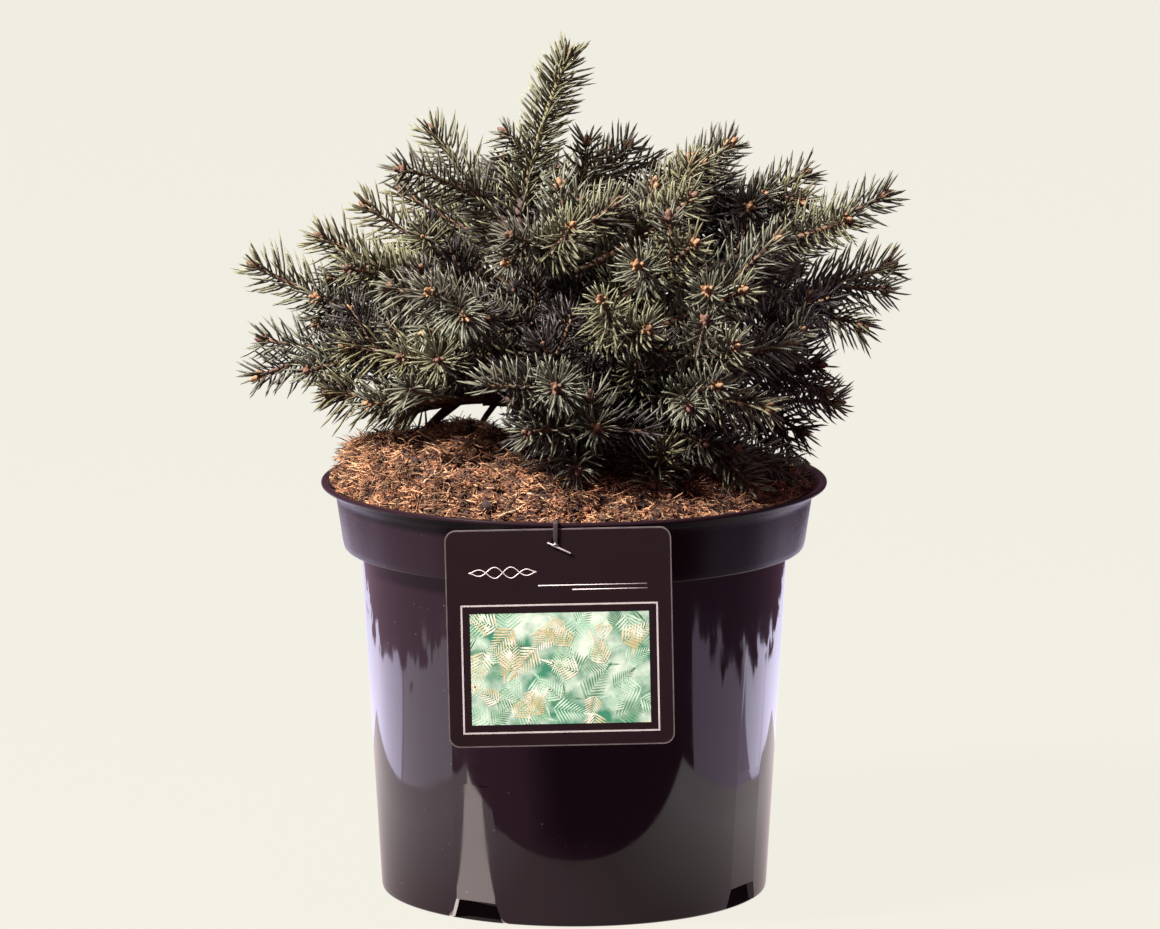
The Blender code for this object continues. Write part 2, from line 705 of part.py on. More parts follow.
def side_is_free(branch, shoot, others, limbs, wood):
    """Whether a side shoot keeps off other masses, limbs, its own neighbours and the pot."""
    tip = shoot[-1] + (shoot[-1] - shoot[-2]).normalized() * TIP_NEEDLES
    out = tip - HUB
    if out.length > crown_reach(out.normalized()) + 2.0 * MM:
        return False
    for point in stretch(shoot, 8.0 * MM, length_of(shoot), 3.0 * MM):
        if others.find(point)[2] < SIDE_CLEAR or not clear_of_pot(point, 4.5 * MM):
            return False
        _, index, distance = limbs.find(point)
        if distance < wood[index][1] + 4.0 * MM:
            return False
        for sibling in branch.shoots:
            away = stretch(sibling, 8.0 * MM, length_of(sibling), 4.0 * MM)
            if min((point - other).length for other in away) < 7.0 * MM:
                return False
        beyond = point_at(branch.line, branch.total - TIP_NEEDLES)
        if (point - beyond).length < 7.0 * MM:
            return False
    return True


class Space:
    """The room one mass has to itself."""

    def __init__(self, branch, branches, limbs, wood):
        own = branch.axes()
        self.own = KDTree(len(own))
        for index, point in enumerate(own):
            self.own.insert(point, index)
        self.own.balance()
        self.others = near_tree(branches, branch)
        self.limbs = limbs
        self.wood = wood

    def holds(self, point):
        """Whether a point is nearer to this mass than to any other and off every limb."""
        mine = self.own.find(point)[2]
        if self.others.find(point)[2] < mine + SPACE_MARGIN:
            return False
        for _, index, distance in self.limbs.find_n(point, 3):
            if distance < self.wood[index][1] + LIMB_MARGIN:
                return False
        return clear_of_pot(point, 0.9 * MM)


def needle_fits(space, corners, tip):
    """Whether the whole toothed spray from its three root corners to its tip fits."""
    if not space.holds(tip):
        return False
    for corner in corners:
        for share in (0.3, 0.65):
            if not space.holds(corner.lerp(tip, share)):
                return False
    return True


def shoot_solid(points, radius, bare, space, dice):
    """A three-sided twig whose faces are drawn out into sprays of needles, ending in a bud."""
    count = len(points)
    radii = [radius + (SHOOT_TIP_RADIUS - radius) * index / (count - 1) for index in range(count)]
    bm = sweep(points, radii, 3, math.pi / 3.0)
    lines = frames(points)
    end = max(bm.faces, key=lambda face: (face.calc_center_median() - points[-1]).length < 0.2 * MM)
    bud = bmesh.ops.poke(bm, faces=[end])
    bud["verts"][0].co = points[-1] + lines[-1][0] * 2.6 * MM
    wide = [face for face in bm.faces if len(face.verts) > 3]
    bmesh.ops.triangulate(bm, faces=wide, quad_method="SHORT_EDGE")
    bm.normal_update()
    distances = [0.0]
    for first, second in zip(points, points[1:]):
        distances.append(distances[-1] + (second - first).length)
    jobs = []
    for face in bm.faces:
        centre = face.calc_center_median()
        index = min(range(count), key=lambda i: (points[i] - centre).length)
        tangent = lines[index][0]
        along = distances[index] + (centre - points[index]).dot(tangent)
        if along < bare or abs(face.normal.dot(tangent)) > 0.97:
            continue
        outward = (face.normal - tangent * face.normal.dot(tangent)).normalized()
        at_end = along > distances[-1] - 1.0 * MM
        lean = TIP_LEAN if at_end else NEEDLE_LEAN
        lean *= dice.uniform(0.88, 1.1)
        heading = (tangent * math.cos(lean) + outward * math.sin(lean) + UP * 0.10).normalized()
        length = (NEEDLE * 0.72 if at_end else NEEDLE) * dice.uniform(0.88, 1.08)
        corners = [vert.co.copy() for vert in face.verts]
        for share in (1.0, 0.82, 0.64, 0.48):
            tip = centre + heading * length * share
            if needle_fits(space, corners, tip):
                jobs.append((face, tip))
                break
    for face, tip in jobs:
        raised = bmesh.ops.poke(bm, faces=[face])
        raised["verts"][0].co = tip
    bmesh.ops.recalc_face_normals(bm, faces=bm.faces)
    return bm


def fuse(base, parts):
    """One Boolean union of a base with the other pieces, which are then removed."""
    group = collection(base.name + "_pieces")
    for part in parts:
        for holder in list(part.users_collection):
            holder.objects.unlink(part)
        group.objects.link(part)
    join = base.modifiers.new("Fuse", "BOOLEAN")
    join.operation = "UNION"
    join.solver = "EXACT"
    join.operand_type = "COLLECTION"
    join.collection = group
    apply_modifiers(base)
    for part in parts:
        bpy.data.objects.remove(part, do_unlink=True)
    bpy.data.collections.remove(group)


def subtract(base, bm, cutters):
    """Cut a base with a closed mesh, which is then removed."""
    tool = place(bm, base.name + "_cut", cutters)
    cut = base.modifiers.new("Cut", "BOOLEAN")
    cut.operation = "DIFFERENCE"
    cut.solver = "MANIFOLD"
    cut.object = tool
    apply_modifiers(base)
    bpy.data.objects.remove(tool, do_unlink=True)


def keep_one_shell(item):
    """Keep the largest shell: a loose scrap is dropped and a sealed hollow is filled.

    Says whether what is left is one closed surface.
    """
    bm = bmesh.new()
    bm.from_mesh(item.data)
    bmesh.ops.remove_doubles(bm, verts=bm.verts, dist=0.000002)
    bmesh.ops.dissolve_degenerate(bm, dist=0.000002, edges=bm.edges)
    left = set(bm.faces)
    shells = []
    while left:
        seed = left.pop()
        shell = {seed}
        front = [seed]
        while front:
            face = front.pop()
            for edge in face.edges:
                for other in edge.link_faces:
                    if other not in shell:
                        shell.add(other)
                        front.append(other)
        left -= shell
        shells.append(shell)
    shells.sort(key=lambda shell: sum(face.calc_area() for face in shell), reverse=True)
    for shell in shells[1:]:
        bmesh.ops.delete(bm, geom=list(shell), context="FACES")
    closed = all(len(edge.link_faces) == 2 for edge in bm.edges)
    bm.to_mesh(item.data)
    bm.free()
    return closed


def make_mass(branch, branches, limbs, wood, group, cutters):
    """One branch's mass, with its needles dealt again where the fused solid isn't closed."""
    space = Space(branch, branches, limbs, wood)
    for attempt in range(MASS_TRIES):
        dice = random.Random(f"{branch.name}{attempt}")
        mass, closed = try_mass(branch, space, dice, group, cutters)
        if closed:
            return mass
        bpy.data.objects.remove(mass, do_unlink=True)
    raise RuntimeError(f"{branch.name} does not close")


def try_mass(branch, space, dice, group, cutters):
    """The stem and side shoots of one branch with their needles, fused into one solid."""
    stem = branch.stem()
    direct = not branch.bough
    bare = max(12.0 * MM, branch.total - MASS_LENGTH) if direct else BARE_ROOT
    base = place(shoot_solid(stem, STEM_RADIUS, bare, space, dice), "foliage_" + branch.name, group)
    parts = []
    for number, shoot in enumerate(branch.shoots):
        points = stretch(shoot, 0.0, length_of(shoot), RING_STEP)
        solid = shoot_solid(points, STEM_RADIUS * 0.86, BARE_SIDE, space, dice)
        parts.append(place(solid, f"side_{number}", group))
    if parts:
        fuse(base, parts)
    if direct:
        subtract(base, trunk_solid(GAP), cutters)
    return base, keep_one_shell(base)


def make_bough(branch, group, cutters):
    """One tapering limb from the trunk to where its mass begins."""
    points = stretch(branch.line, 0.0, branch.start, 14.0 * MM)
    ahead = (point_at(branch.line, branch.start + GAP) - points[-1]).normalized()
    points[-2] = points[-1] - ahead * (points[-1] - points[-2]).length
    count = len(points) - 1
    change = BOUGH_TIP_RADIUS - BOUGH_ROOT_RADIUS
    radii = [BOUGH_ROOT_RADIUS + change * index / count for index in range(count + 1)]
    bough = place(sweep(points, radii, BOUGH_SIDES), "bough_" + branch.name, group)
    subtract(bough, trunk_solid(GAP), cutters)
    keep_one_shell(bough)
    return bough


def main():
    """Build every part, each with its own material."""
    clear_scene()
    group = collection("dwarf_globe_spruce")
    cutters = collection("cutters")
    pot = turned("pot", pot_profile(), group)
    cut_pot(pot, cutters)
    parts = [(pot, POT_BLACK, 0.25)]
    parts.append((make_soil(group), COIR, 0.9))
    parts.append((make_tag(group, cutters), TAG_BROWN, 0.4))
    parts.append((make_tie(group), POT_BLACK, 0.4))
    parts.append((place(trunk_solid(0.0), "trunk", group), BARK, 0.85))
    branches = plan_branches()
    wood = wood_points(branches)
    grow_sides(branches, wood, 7)
    limbs = KDTree(len(wood))
    for index, (point, _) in enumerate(wood):
        limbs.insert(point, index)
    limbs.balance()
    for branch in branches:
        if branch.bough:
            parts.append((make_bough(branch, group, cutters), BARK, 0.85))
        parts.append((make_mass(branch, branches, limbs, wood, group, cutters), NEEDLE_GREEN, 0.7))
    for item, colour, roughness in parts:
        item.data.materials.clear()
        item.data.materials.append(material(item.name + "_finish", colour, roughness))


main()
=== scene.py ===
"""Looks of a dwarf globe blue spruce in its nursery pot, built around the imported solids.

Metres, +Z up, the front faces -Y, and the origin is on the pot's axis at its flat underside.
The branches follow the same rule as the solids do, and are carried on to finer twigs.
"""

import logging
import math
from collections.abc import Callable, Iterator
from contextlib import contextmanager
from dataclasses import dataclass, field
from enum import Enum
from functools import cache
from itertools import product
from random import Random
from typing import Protocol

import bmesh
import bpy
import numpy as np
from mathutils import Matrix, Quaternion, Vector, noise
from mathutils.kdtree import KDTree


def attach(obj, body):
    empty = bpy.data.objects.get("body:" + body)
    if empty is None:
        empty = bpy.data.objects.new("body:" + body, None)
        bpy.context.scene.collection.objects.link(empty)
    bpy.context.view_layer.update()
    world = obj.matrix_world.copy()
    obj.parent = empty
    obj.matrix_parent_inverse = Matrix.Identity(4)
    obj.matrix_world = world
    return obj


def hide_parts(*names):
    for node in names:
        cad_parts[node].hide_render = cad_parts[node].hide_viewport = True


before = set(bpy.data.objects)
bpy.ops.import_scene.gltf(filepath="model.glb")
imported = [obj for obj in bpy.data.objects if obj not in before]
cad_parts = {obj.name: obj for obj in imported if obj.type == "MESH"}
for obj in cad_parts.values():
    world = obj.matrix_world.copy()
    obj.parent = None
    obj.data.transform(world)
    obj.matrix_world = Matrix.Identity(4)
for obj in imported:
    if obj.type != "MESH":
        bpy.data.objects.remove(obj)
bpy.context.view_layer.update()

LOG = logging.getLogger("spruce")
MM = 0.001
UP = Vector((0.0, 0.0, 1.0))
GOLDEN_TURN = math.pi * (3.0 - math.sqrt(5.0))
Triple = tuple[float, float, float]
Line = list[Vector]
Frame = tuple[Vector, Vector, Vector]
Piece = bpy.types.Object
Material = bpy.types.Material
Socket = bpy.types.NodeSocket
Tree = bpy.types.NodeTree


class Tint(Enum):
    """Base colours of the needles, dealt out by spray; the darkest, near black with a purple cast, is
    painted shade for the sprays inside the crown.
    """

    BLUE = (0.140, 0.146, 0.105)
    SAGE = (0.166, 0.166, 0.100)
    GREY = (0.094, 0.089, 0.065)
    OLIVE = (0.146, 0.134, 0.070)
    DEEP = (0.030, 0.023, 0.022)


class Fibre(Enum):
    """Base colours of the coir's strands."""

    STRAW = (0.66, 0.37, 0.205)
    RUST = (0.33, 0.133, 0.064)
    UMBER = (0.085, 0.032, 0.023)


def deselect_all() -> None:
    """Leave nothing selected in object mode."""
    for item in bpy.context.selected_objects:
        item.select_set(False)


def make_active(item: Piece) -> None:
    """Select one object alone."""
    deselect_all()
    item.select_set(True)
    bpy.context.view_layer.objects.active = item


@contextmanager
def editing(item: Piece, action: str = "DESELECT") -> Iterator[None]:
    """Edit mode on one object, at the start with nothing in it selected, or all of it.

    Args:
        item: the mesh object to edit.
        action: SELECT or DESELECT, for all of it at the start.
    """
    make_active(item)
    bpy.ops.object.mode_set(mode="EDIT")
    bpy.ops.mesh.select_mode(type="VERT")
    bpy.ops.mesh.select_all(action=action)
    yield
    bpy.ops.object.mode_set(mode="OBJECT")


def pick(item: Piece, kind: str, test: Callable[[object], bool]) -> None:
    """Select the faces or edges that pass a test, in edit mode.

    Args:
        item: the object being edited.
        kind: FACE or EDGE.
        test: says whether one is wanted.
    """
    bpy.ops.mesh.select_mode(type=kind)
    bpy.ops.mesh.select_all(action="DESELECT")
    mesh = bmesh.from_edit_mesh(item.data)
    for part in mesh.faces if kind == "FACE" else mesh.edges:
        part.select_set(test(part))
    bmesh.update_edit_mesh(item.data)


def apply_all(item: Piece) -> None:
    """Apply an object's modifiers in order."""
    make_active(item)
    for modifier in list(item.modifiers):
        bpy.ops.object.modifier_apply(modifier=modifier.name)


def settle(item: Piece, place: Matrix | None = None) -> None:
    """Move an object's place, or a new one, into its mesh.

    Args:
        item: the object.
        place: a new place for it first.
    """
    if place is not None:
        item.matrix_world = place
    make_active(item)
    bpy.ops.object.transform_apply(location=True, rotation=True, scale=True)


def drawn(name: str, add: Callable[..., set[str]], **settings: object) -> Piece:
    """A new object of one of Blender's own shapes.

    Args:
        name: its name.
        add: the operator that adds the shape.
        settings: what the operator is told.

    Returns:
        The object.
    """
    deselect_all()
    add(**settings)
    item = bpy.context.active_object
    item.name = name
    return item


def strewn(pattern: Piece, offset: float, seed: int) -> Piece:
    """A pattern with its corners pushed about at random.

    Args:
        pattern: the object.
        offset: how far a corner may move.
        seed: the random source's seed.

    Returns:
        The same object.
    """
    with editing(pattern, "SELECT"):
        bpy.ops.transform.vertex_random(offset=offset, seed=seed)
    return pattern


def smooth_by_angle(item: Piece, degrees: float) -> None:
    """Shade smooth where faces meet at less than an angle."""
    make_active(item)
    bpy.ops.object.shade_smooth_by_angle(angle=math.radians(degrees))


def soften(item: Piece, width: float, degrees: float) -> None:
    """Round an object's sharp edges, and shade it smooth up to an angle.

    Args:
        item: the object.
        width: the rounding's width.
        degrees: the greatest angle that is shaded smooth.
    """
    rounding = item.modifiers.new("Edges", "BEVEL")
    rounding.width = width
    rounding.segments = 2
    rounding.limit_method = "ANGLE"
    apply_all(item)
    smooth_by_angle(item, degrees)


def cutter_box(size: Triple, matrix: Matrix, top_share: float = 1.0) -> Piece:
    """A box to cut with, its top narrowed along X.

    Args:
        size: lengths of its sides.
        matrix: where its centre stands.
        top_share: width of the top as a share of the foot's.

    Returns:
        The box.
    """
    box = drawn("cutter", bpy.ops.mesh.primitive_cube_add, size=1.0)
    settle(box, Matrix.Diagonal((*size, 1.0)))
    for vert in box.data.vertices:
        if vert.co.z > 0.0:
            vert.co.x *= top_share
    settle(box, matrix)
    return box


def cut(item: Piece, tool: Piece) -> None:
    """Cut an object with a closed tool, which is then removed.

    Args:
        item: the object to cut.
        tool: what is taken away from it.
    """
    modifier = item.modifiers.new("Cut", "BOOLEAN")
    modifier.operation = "DIFFERENCE"
    modifier.solver = "EXACT"
    modifier.object = tool
    apply_all(item)
    bpy.data.objects.remove(tool, do_unlink=True)


def wire(name: str, points: list[Triple]) -> Piece:
    """A row of edges drawn out from point to point.

    Args:
        name: the object's name.
        points: the corners, in order.

    Returns:
        The new object.
    """
    item = drawn(name, bpy.ops.mesh.primitive_plane_add, size=1.0 * MM)
    with editing(item, "SELECT"):
        bpy.ops.mesh.merge(type="CENTER")
        bpy.ops.transform.translate(value=points[0])
        for point, following in zip(points, points[1:]):
            step = [end - begin for begin, end in zip(point, following)]
            bpy.ops.mesh.extrude_region_move(TRANSFORM_OT_translate={"value": step})
    return item


def lathe(name: str, profile: list[tuple[float, float]], steps: int) -> Piece:
    """Turn a profile about the Z axis into a closed solid.

    Args:
        name: the piece's name.
        profile: points of (radius, height), from the axis round to the axis.
        steps: how many steps make a turn.

    Returns:
        The turned object.
    """
    item = wire(name, [(radius, 0.0, height) for radius, height in profile])
    with editing(item, "SELECT"):
        bpy.ops.mesh.spin(steps=steps, angle=2.0 * math.pi, center=(0.0, 0.0, 0.0), axis=(0.0, 0.0, 1.0))
        bpy.ops.mesh.select_all(action="SELECT")
        bpy.ops.mesh.remove_doubles(threshold=0.01 * MM)
        bpy.ops.mesh.normals_make_consistent(inside=False)
    return item


def strands(name: str, lines: np.ndarray, radii: np.ndarray, sides: int, across: np.ndarray) -> Piece:
    """Many tapering strands as one mesh, closed at the root and drawn to a point at the tip.

    Args:
        name: the piece's name.
        lines: middle lines, as (strand, ring, 3); the last ring is the tip.
        radii: radius at each ring but the tip, as (strand, ring - 1).
        sides: corners of a section.
        across: for each strand, the way its first corner points.

    Returns:
        The joined mesh, with each corner's share of the length in the attribute "along".
    """
    count, rings = lines.shape[0], lines.shape[1] - 1
    tangents = np.gradient(lines, axis=1)
    tangents /= np.linalg.norm(tangents, axis=2, keepdims=True)
    side = across[:, None, :] - tangents * (tangents * across[:, None, :]).sum(axis=2, keepdims=True)
    side /= np.maximum(np.linalg.norm(side, axis=2, keepdims=True), 1e-9)
    over = np.cross(tangents, side)
    angles = np.arange(sides) * 2.0 * math.pi / sides
    around = side[:, :-1, None, :] * np.cos(angles)[:, None]
    around = around + over[:, :-1, None, :] * np.sin(angles)[:, None]
    corners = lines[:, :-1, None, :] + around * radii[:, :, None, None]
    each = rings * sides + 1
    points = np.concatenate((corners.reshape(count, rings * sides, 3), lines[:, -1:, :]), axis=1)
    faces = []
    for ring in range(rings - 1):
        for corner in range(sides):
            first = ring * sides + corner
            second = ring * sides + (corner + 1) % sides
            faces += [(first, second, second + sides), (first, second + sides, first + sides)]
    last = (rings - 1) * sides
    faces += [(last + corner, last + (corner + 1) % sides, each - 1) for corner in range(sides)]
    faces += [(0, corner + 1, corner) for corner in range(1, sides - 1)]
    index = np.arange(count)[:, None, None] * each + np.array(faces)[None, :, :]
    item = triangle_mesh(name, points.reshape(-1, 3), index.reshape(-1, 3))
    share = np.repeat(np.arange(rings) / rings, sides)
    share = np.tile(np.append(share, 1.0), count)
    item.data.attributes.new("along", "FLOAT", "POINT").data.foreach_set("value", share)
    return item


def triangle_mesh(name: str, points: np.ndarray, triangles: np.ndarray) -> Piece:
    """A smooth-shaded mesh object from arrays.

    Args:
        name: the piece's name.
        points: corner places, as (point, 3).
        triangles: corner numbers, as (triangle, 3).

    Returns:
        The new object.
    """
    mesh = bpy.data.meshes.new(name)
    mesh.vertices.add(len(points))
    mesh.vertices.foreach_set("co", points.astype(np.float32).ravel())
    mesh.loops.add(triangles.size)
    mesh.loops.foreach_set("vertex_index", triangles.astype(np.int32).ravel())
    mesh.polygons.add(len(triangles))
    mesh.polygons.foreach_set("loop_start", np.arange(0, triangles.size, 3, dtype=np.int32))
    mesh.polygons.foreach_set("use_smooth", np.ones(len(triangles), dtype=bool))
    mesh.update(calc_edges=True)
    mesh.validate()
    item = bpy.data.objects.new(name, mesh)
    bpy.context.scene.collection.objects.link(item)
    return item


def copies(name: str, pattern: Piece, places: list[Matrix]) -> Piece:
    """One joined mesh of many copies of a small pattern, which is then removed.

    Args:
        name: the piece's name.
        pattern: the shape that is repeated.
        places: where each copy stands, with its turn and size.

    Returns:
        The joined object.
    """
    mesh = pattern.data
    mesh.calc_loop_triangles()
    own = np.array([(*vert.co, 1.0) for vert in mesh.vertices])
    corners = np.array([triangle.vertices[:] for triangle in mesh.loop_triangles])
    turns = np.array([[list(row) for row in place] for place in places])
    points = np.einsum("nij,vj->nvi", turns, own)[:, :, :3]
    index = corners[None, :, :] + (np.arange(len(places)) * len(own))[:, None, None]
    item = triangle_mesh(name, points.reshape(-1, 3), index.reshape(-1, 3))
    bpy.data.objects.remove(pattern, do_unlink=True)
    return item


def curve_tubes(name: str, tubes: list[tuple[Line, list[float]]], sides: int) -> Piece:
    """Tubes along many lines, drawn as curves and made one closed mesh.

    Args:
        name: the piece's name.
        tubes: for each tube its middle line, and the radius at each of its points.
        sides: corners of a section, an even number from 4 up.

    Returns:
        The mesh object.
    """
    curve = bpy.data.curves.new(name, "CURVE")
    curve.dimensions = "3D"
    curve.bevel_depth = 1.0
    curve.bevel_resolution = (sides - 4) // 2
    curve.use_fill_caps = True
    for line, sizes in tubes:
        spline = curve.splines.new("POLY")
        spline.points.add(len(line) - 1)
        for point, place, size in zip(spline.points, line, sizes):
            point.co = (*place, 1.0)
            point.radius = size
    item = bpy.data.objects.new(name, curve)
    bpy.context.scene.collection.objects.link(item)
    make_active(item)
    bpy.ops.object.convert(target="MESH")
    item = bpy.context.active_object
    with editing(item, "SELECT"):
        bpy.ops.mesh.remove_doubles(threshold=0.002 * MM)
        bpy.ops.mesh.normals_make_consistent(inside=False)
    bpy.ops.object.shade_smooth()
    return item


class Graph:
    """Short ways to build a node tree."""

    def __init__(self, tree: Tree) -> None:
        """Work on a tree."""
        self.tree = tree

    def add(self, kind: str, feeds: dict | None = None, **settings: object) -> bpy.types.Node:
        """Add a node.

        Args:
            kind: its type, without "ShaderNode" in front.
            feeds: a value or a socket for each of its inputs, by name or number.
            settings: its own properties.

        Returns:
            The node.
        """
        node = self.tree.nodes.new("ShaderNode" + kind)
        for label, value in settings.items():
            setattr(node, label, value)
        for label, value in (feeds or {}).items():
            self.feed(node.inputs[label], value)
        return node

    def feed(self, socket: Socket, value: object) -> None:
        """Set a socket, or join another socket to it.

        Args:
            socket: the input.
            value: a number, a colour or an output socket.
        """
        if isinstance(value, Socket):
            self.tree.links.new(value, socket)
        elif socket.type == "RGBA" and len(value) == 3:
            socket.default_value = (*value, 1.0)
        else:
            socket.default_value = value

    def maths(self, operation: str, *values: object) -> Socket:
        """The result of a Math node on numbers or sockets."""
        return self.add("Math", dict(enumerate(values)), operation=operation).outputs[0]

    def ramp(self, value: object, low: object, high: object) -> Socket:
        """A value stretched so that one bound becomes 0 and the other 1."""
        return self.add("MapRange", {"Value": value, "From Min": low, "From Max": high}).outputs["Result"]

    def mix(self, share: object, first: object, second: object) -> Socket:
        """Two colours mixed, by the second one's share."""
        return self.add("Mix", {"Factor": share, 6: first, 7: second}, data_type="RGBA").outputs[2]


class Effect(Graph):
    """A shared effect in the making: a node group with named inputs and outputs."""

    def __init__(self, name: str, **inputs: object) -> None:
        """Start a group.

        Args:
            name: the group's name.
            inputs: the starting value of each input besides the place.
        """
        super().__init__(bpy.data.node_groups.new(name, "ShaderNodeTree"))
        for label, value in {"Place": (0.0, 0.0, 0.0), **inputs}.items():
            kind = "NodeSocketFloat"
            if isinstance(value, tuple):
                kind = "NodeSocketColor" if len(value) == 4 else "NodeSocketVector"
            socket = self.tree.interface.new_socket(label, in_out="INPUT", socket_type=kind)
            socket.default_value = value
        self.inputs = self.tree.nodes.new("NodeGroupInput").outputs
        self.scale = self.maths("DIVIDE", 1.0, self.inputs["Size"])

    def texture(self, kind: str, **feeds: object) -> bpy.types.Node:
        """A texture at the group's place, its pattern as large as the group's size."""
        return self.add(kind, {"Vector": self.inputs["Place"], "Scale": self.scale, **feeds})

    def close(self, **outs: Socket) -> Tree:
        """Give the group its outputs.

        Args:
            outs: the socket behind each output.

        Returns:
            The finished group.
        """
        for label, socket in outs.items():
            kind = "NodeSocketColor" if socket.type == "RGBA" else "NodeSocketFloat"
            self.tree.interface.new_socket(label, in_out="OUTPUT", socket_type=kind)
        end = self.tree.nodes.new("NodeGroupOutput")
        for label, socket in outs.items():
            self.feed(end.inputs[label], socket)
        return self.tree


@cache
def blotches() -> Tree:
    """The effect that puts out a soft mask of patches.

    Returns:
        The group, built once.
    """
    effect = Effect("Blotches", Size=0.01, Low=0.4, High=0.6)
    clouds = effect.texture("TexNoise", Detail=3.0)
    return effect.close(Mask=effect.ramp(clouds.outputs["Fac"], effect.inputs["Low"], effect.inputs["High"]))


@cache
def relief() -> Tree:
    """The effect that puts out heights of coarse and fine grain.

    Returns:
        The group, built once.
    """
    effect = Effect("Relief", Size=0.002, Fine=0.5)
    cells = effect.texture("TexVoronoi").outputs["Distance"]
    clouds = effect.texture("TexNoise", Detail=4.0).outputs["Fac"]
    return effect.close(Height=effect.maths("MULTIPLY_ADD", clouds, effect.inputs["Fine"], cells))


@cache
def specks() -> Tree:
    """The effect that lays sparse specks of dust over a colour.

    Returns:
        The group, built once.
    """
    black, pale = (0.0, 0.0, 0.0, 1.0), (0.3, 0.28, 0.26, 1.0)
    effect = Effect("Dust", Colour=black, Dust=pale, Size=0.003, Amount=0.5)
    cells = effect.texture("TexVoronoi").outputs
    small = effect.ramp(cells["Distance"], 0.16, 0.08)
    few = effect.ramp(cells["Color"], 0.80, 0.86)
    mask = effect.maths("MULTIPLY", effect.maths("MULTIPLY", small, few), effect.inputs["Amount"])
    return effect.close(Colour=effect.mix(mask, effect.inputs["Colour"], effect.inputs["Dust"]))


class Surface(Graph):
    """A material in the making, with its shader."""

    def __init__(self, name: str, roughness: float) -> None:
        """Start with a plain shader.

        Args:
            name: the material's name.
            roughness: the shader's roughness.
        """
        self.material = bpy.data.materials.new(name)
        self.material.use_nodes = True
        super().__init__(self.material.node_tree)
        self.shader = self.tree.nodes["Principled BSDF"]
        self.shader.inputs["Roughness"].default_value = roughness
        self.place = self.add("TexCoord").outputs["Object"]

    def parts(self) -> bpy.types.bpy_prop_collection:
        """The place's X, Y and Z."""
        return self.add("SeparateXYZ", {0: self.place}).outputs

    def effect(self, group: Tree, **values: object) -> Socket:
        """What a shared effect puts out, with its inputs set or joined."""
        return self.add("Group", {"Place": self.place, **values}, node_tree=group).outputs[0]

    def patches(self, size: float, low: float, high: float) -> Socket:
        """A soft mask of patches of a size."""
        return self.effect(blotches(), Size=size, Low=low, High=high)

    def done(self, tone: object, grain: tuple[float, float, float, float]) -> Material:
        """The material, with its base colour and a grain's size, fine share, depth and strength.

        Args:
            tone: a colour or a socket.
            grain: the grain's size, fine share, depth and strength.

        Returns:
            The material.
        """
        self.feed(self.shader.inputs["Base Color"], tone)
        size, fine, depth, strength = grain
        height = self.effect(relief(), Size=size, Fine=fine)
        bump = self.add("Bump", {"Height": height, "Distance": depth, "Strength": strength})
        self.feed(self.shader.inputs["Normal"], bump.outputs["Normal"])
        return self.material


class Finish(Protocol):
    """What every finish can do."""

    def make(self) -> Material:
        """Build the material."""


@dataclass(frozen=True)
class PotPlastic:
    """Black plastic with a purple cast, dusty near the foot."""

    name: str = "pot_plastic"
    black: Triple = (0.0100, 0.0048, 0.0077)
    dust: Triple = (0.13, 0.11, 0.105)
    roughness: float = 0.045
    specular: float = 0.5

    def make(self) -> Material:
        """Build the material.

        Returns:
            The material.
        """
        surface = Surface(self.name, self.roughness)
        amount = surface.maths("MULTIPLY_ADD", surface.ramp(surface.parts()["Z"], 26.0 * MM, 0.0), 0.5, 0.5)
        tone = surface.effect(specks(), Colour=self.black, Dust=self.dust, Size=3.2 * MM, Amount=amount)
        worn = surface.maths("MULTIPLY", surface.patches(14.0 * MM, 0.42, 0.72), 0.05)
        surface.feed(surface.shader.inputs["Roughness"], surface.maths("ADD", worn, self.roughness))
        surface.shader.inputs["Specular IOR Level"].default_value = self.specular
        return surface.done(tone, (26.0 * MM, 0.2, 0.03 * MM, 0.16))


@dataclass(frozen=True)
class NeedleFinish:
    """Waxy needles in one tint: paler towards their tips, which is partly their real colour and partly
    painted shade at the bases inside the spray, with painted highlight in patches near the tips.
    """

    tint: Tint

    def make(self) -> Material:
        """Build the material.

        Returns:
            The material.
        """
        surface = Surface("needles_" + self.tint.name.lower(), 0.46)
        # painted shade: each needle is darker with a purple cast at its base, deep in the spray; the paler
        # patches near its tip are painted highlight
        deep = tuple(part * share for part, share in zip(self.tint.value, (0.34, 0.25, 0.27)))
        pale = tuple(part * 1.22 + 0.02 for part in self.tint.value)
        along = surface.ramp(surface.add("Attribute", attribute_name="along").outputs["Fac"], 0.02, 0.78)
        lit = surface.maths("MULTIPLY", surface.patches(5.0 * MM, 0.38, 0.62), along)
        tone = surface.mix(lit, surface.mix(along, deep, self.tint.value), pale)
        surface.feed(surface.shader.inputs["Base Color"], tone)
        surface.shader.inputs["Specular IOR Level"].default_value = 0.42
        return surface.material


@dataclass(frozen=True)
class BarkFinish:
    """Scaly bark: a dark brown ground with lighter plates."""

    name: str
    ground: Triple
    plate: Triple
    grain: float
    depth: float
    high_tone: Triple | None = None

    def make(self) -> Material:
        """Build the material.

        Returns:
            The material.
        """
        surface = Surface(self.name, 0.78)
        tone = surface.mix(surface.patches(self.grain * 2.0, 0.36, 0.64), self.ground, self.plate)
        if self.high_tone:
            high = surface.ramp(surface.parts()["Z"], 318.0 * MM, 336.0 * MM)
            tone = surface.mix(high, tone, self.high_tone)
        return surface.done(tone, (self.grain, 0.6, self.depth, 0.7))


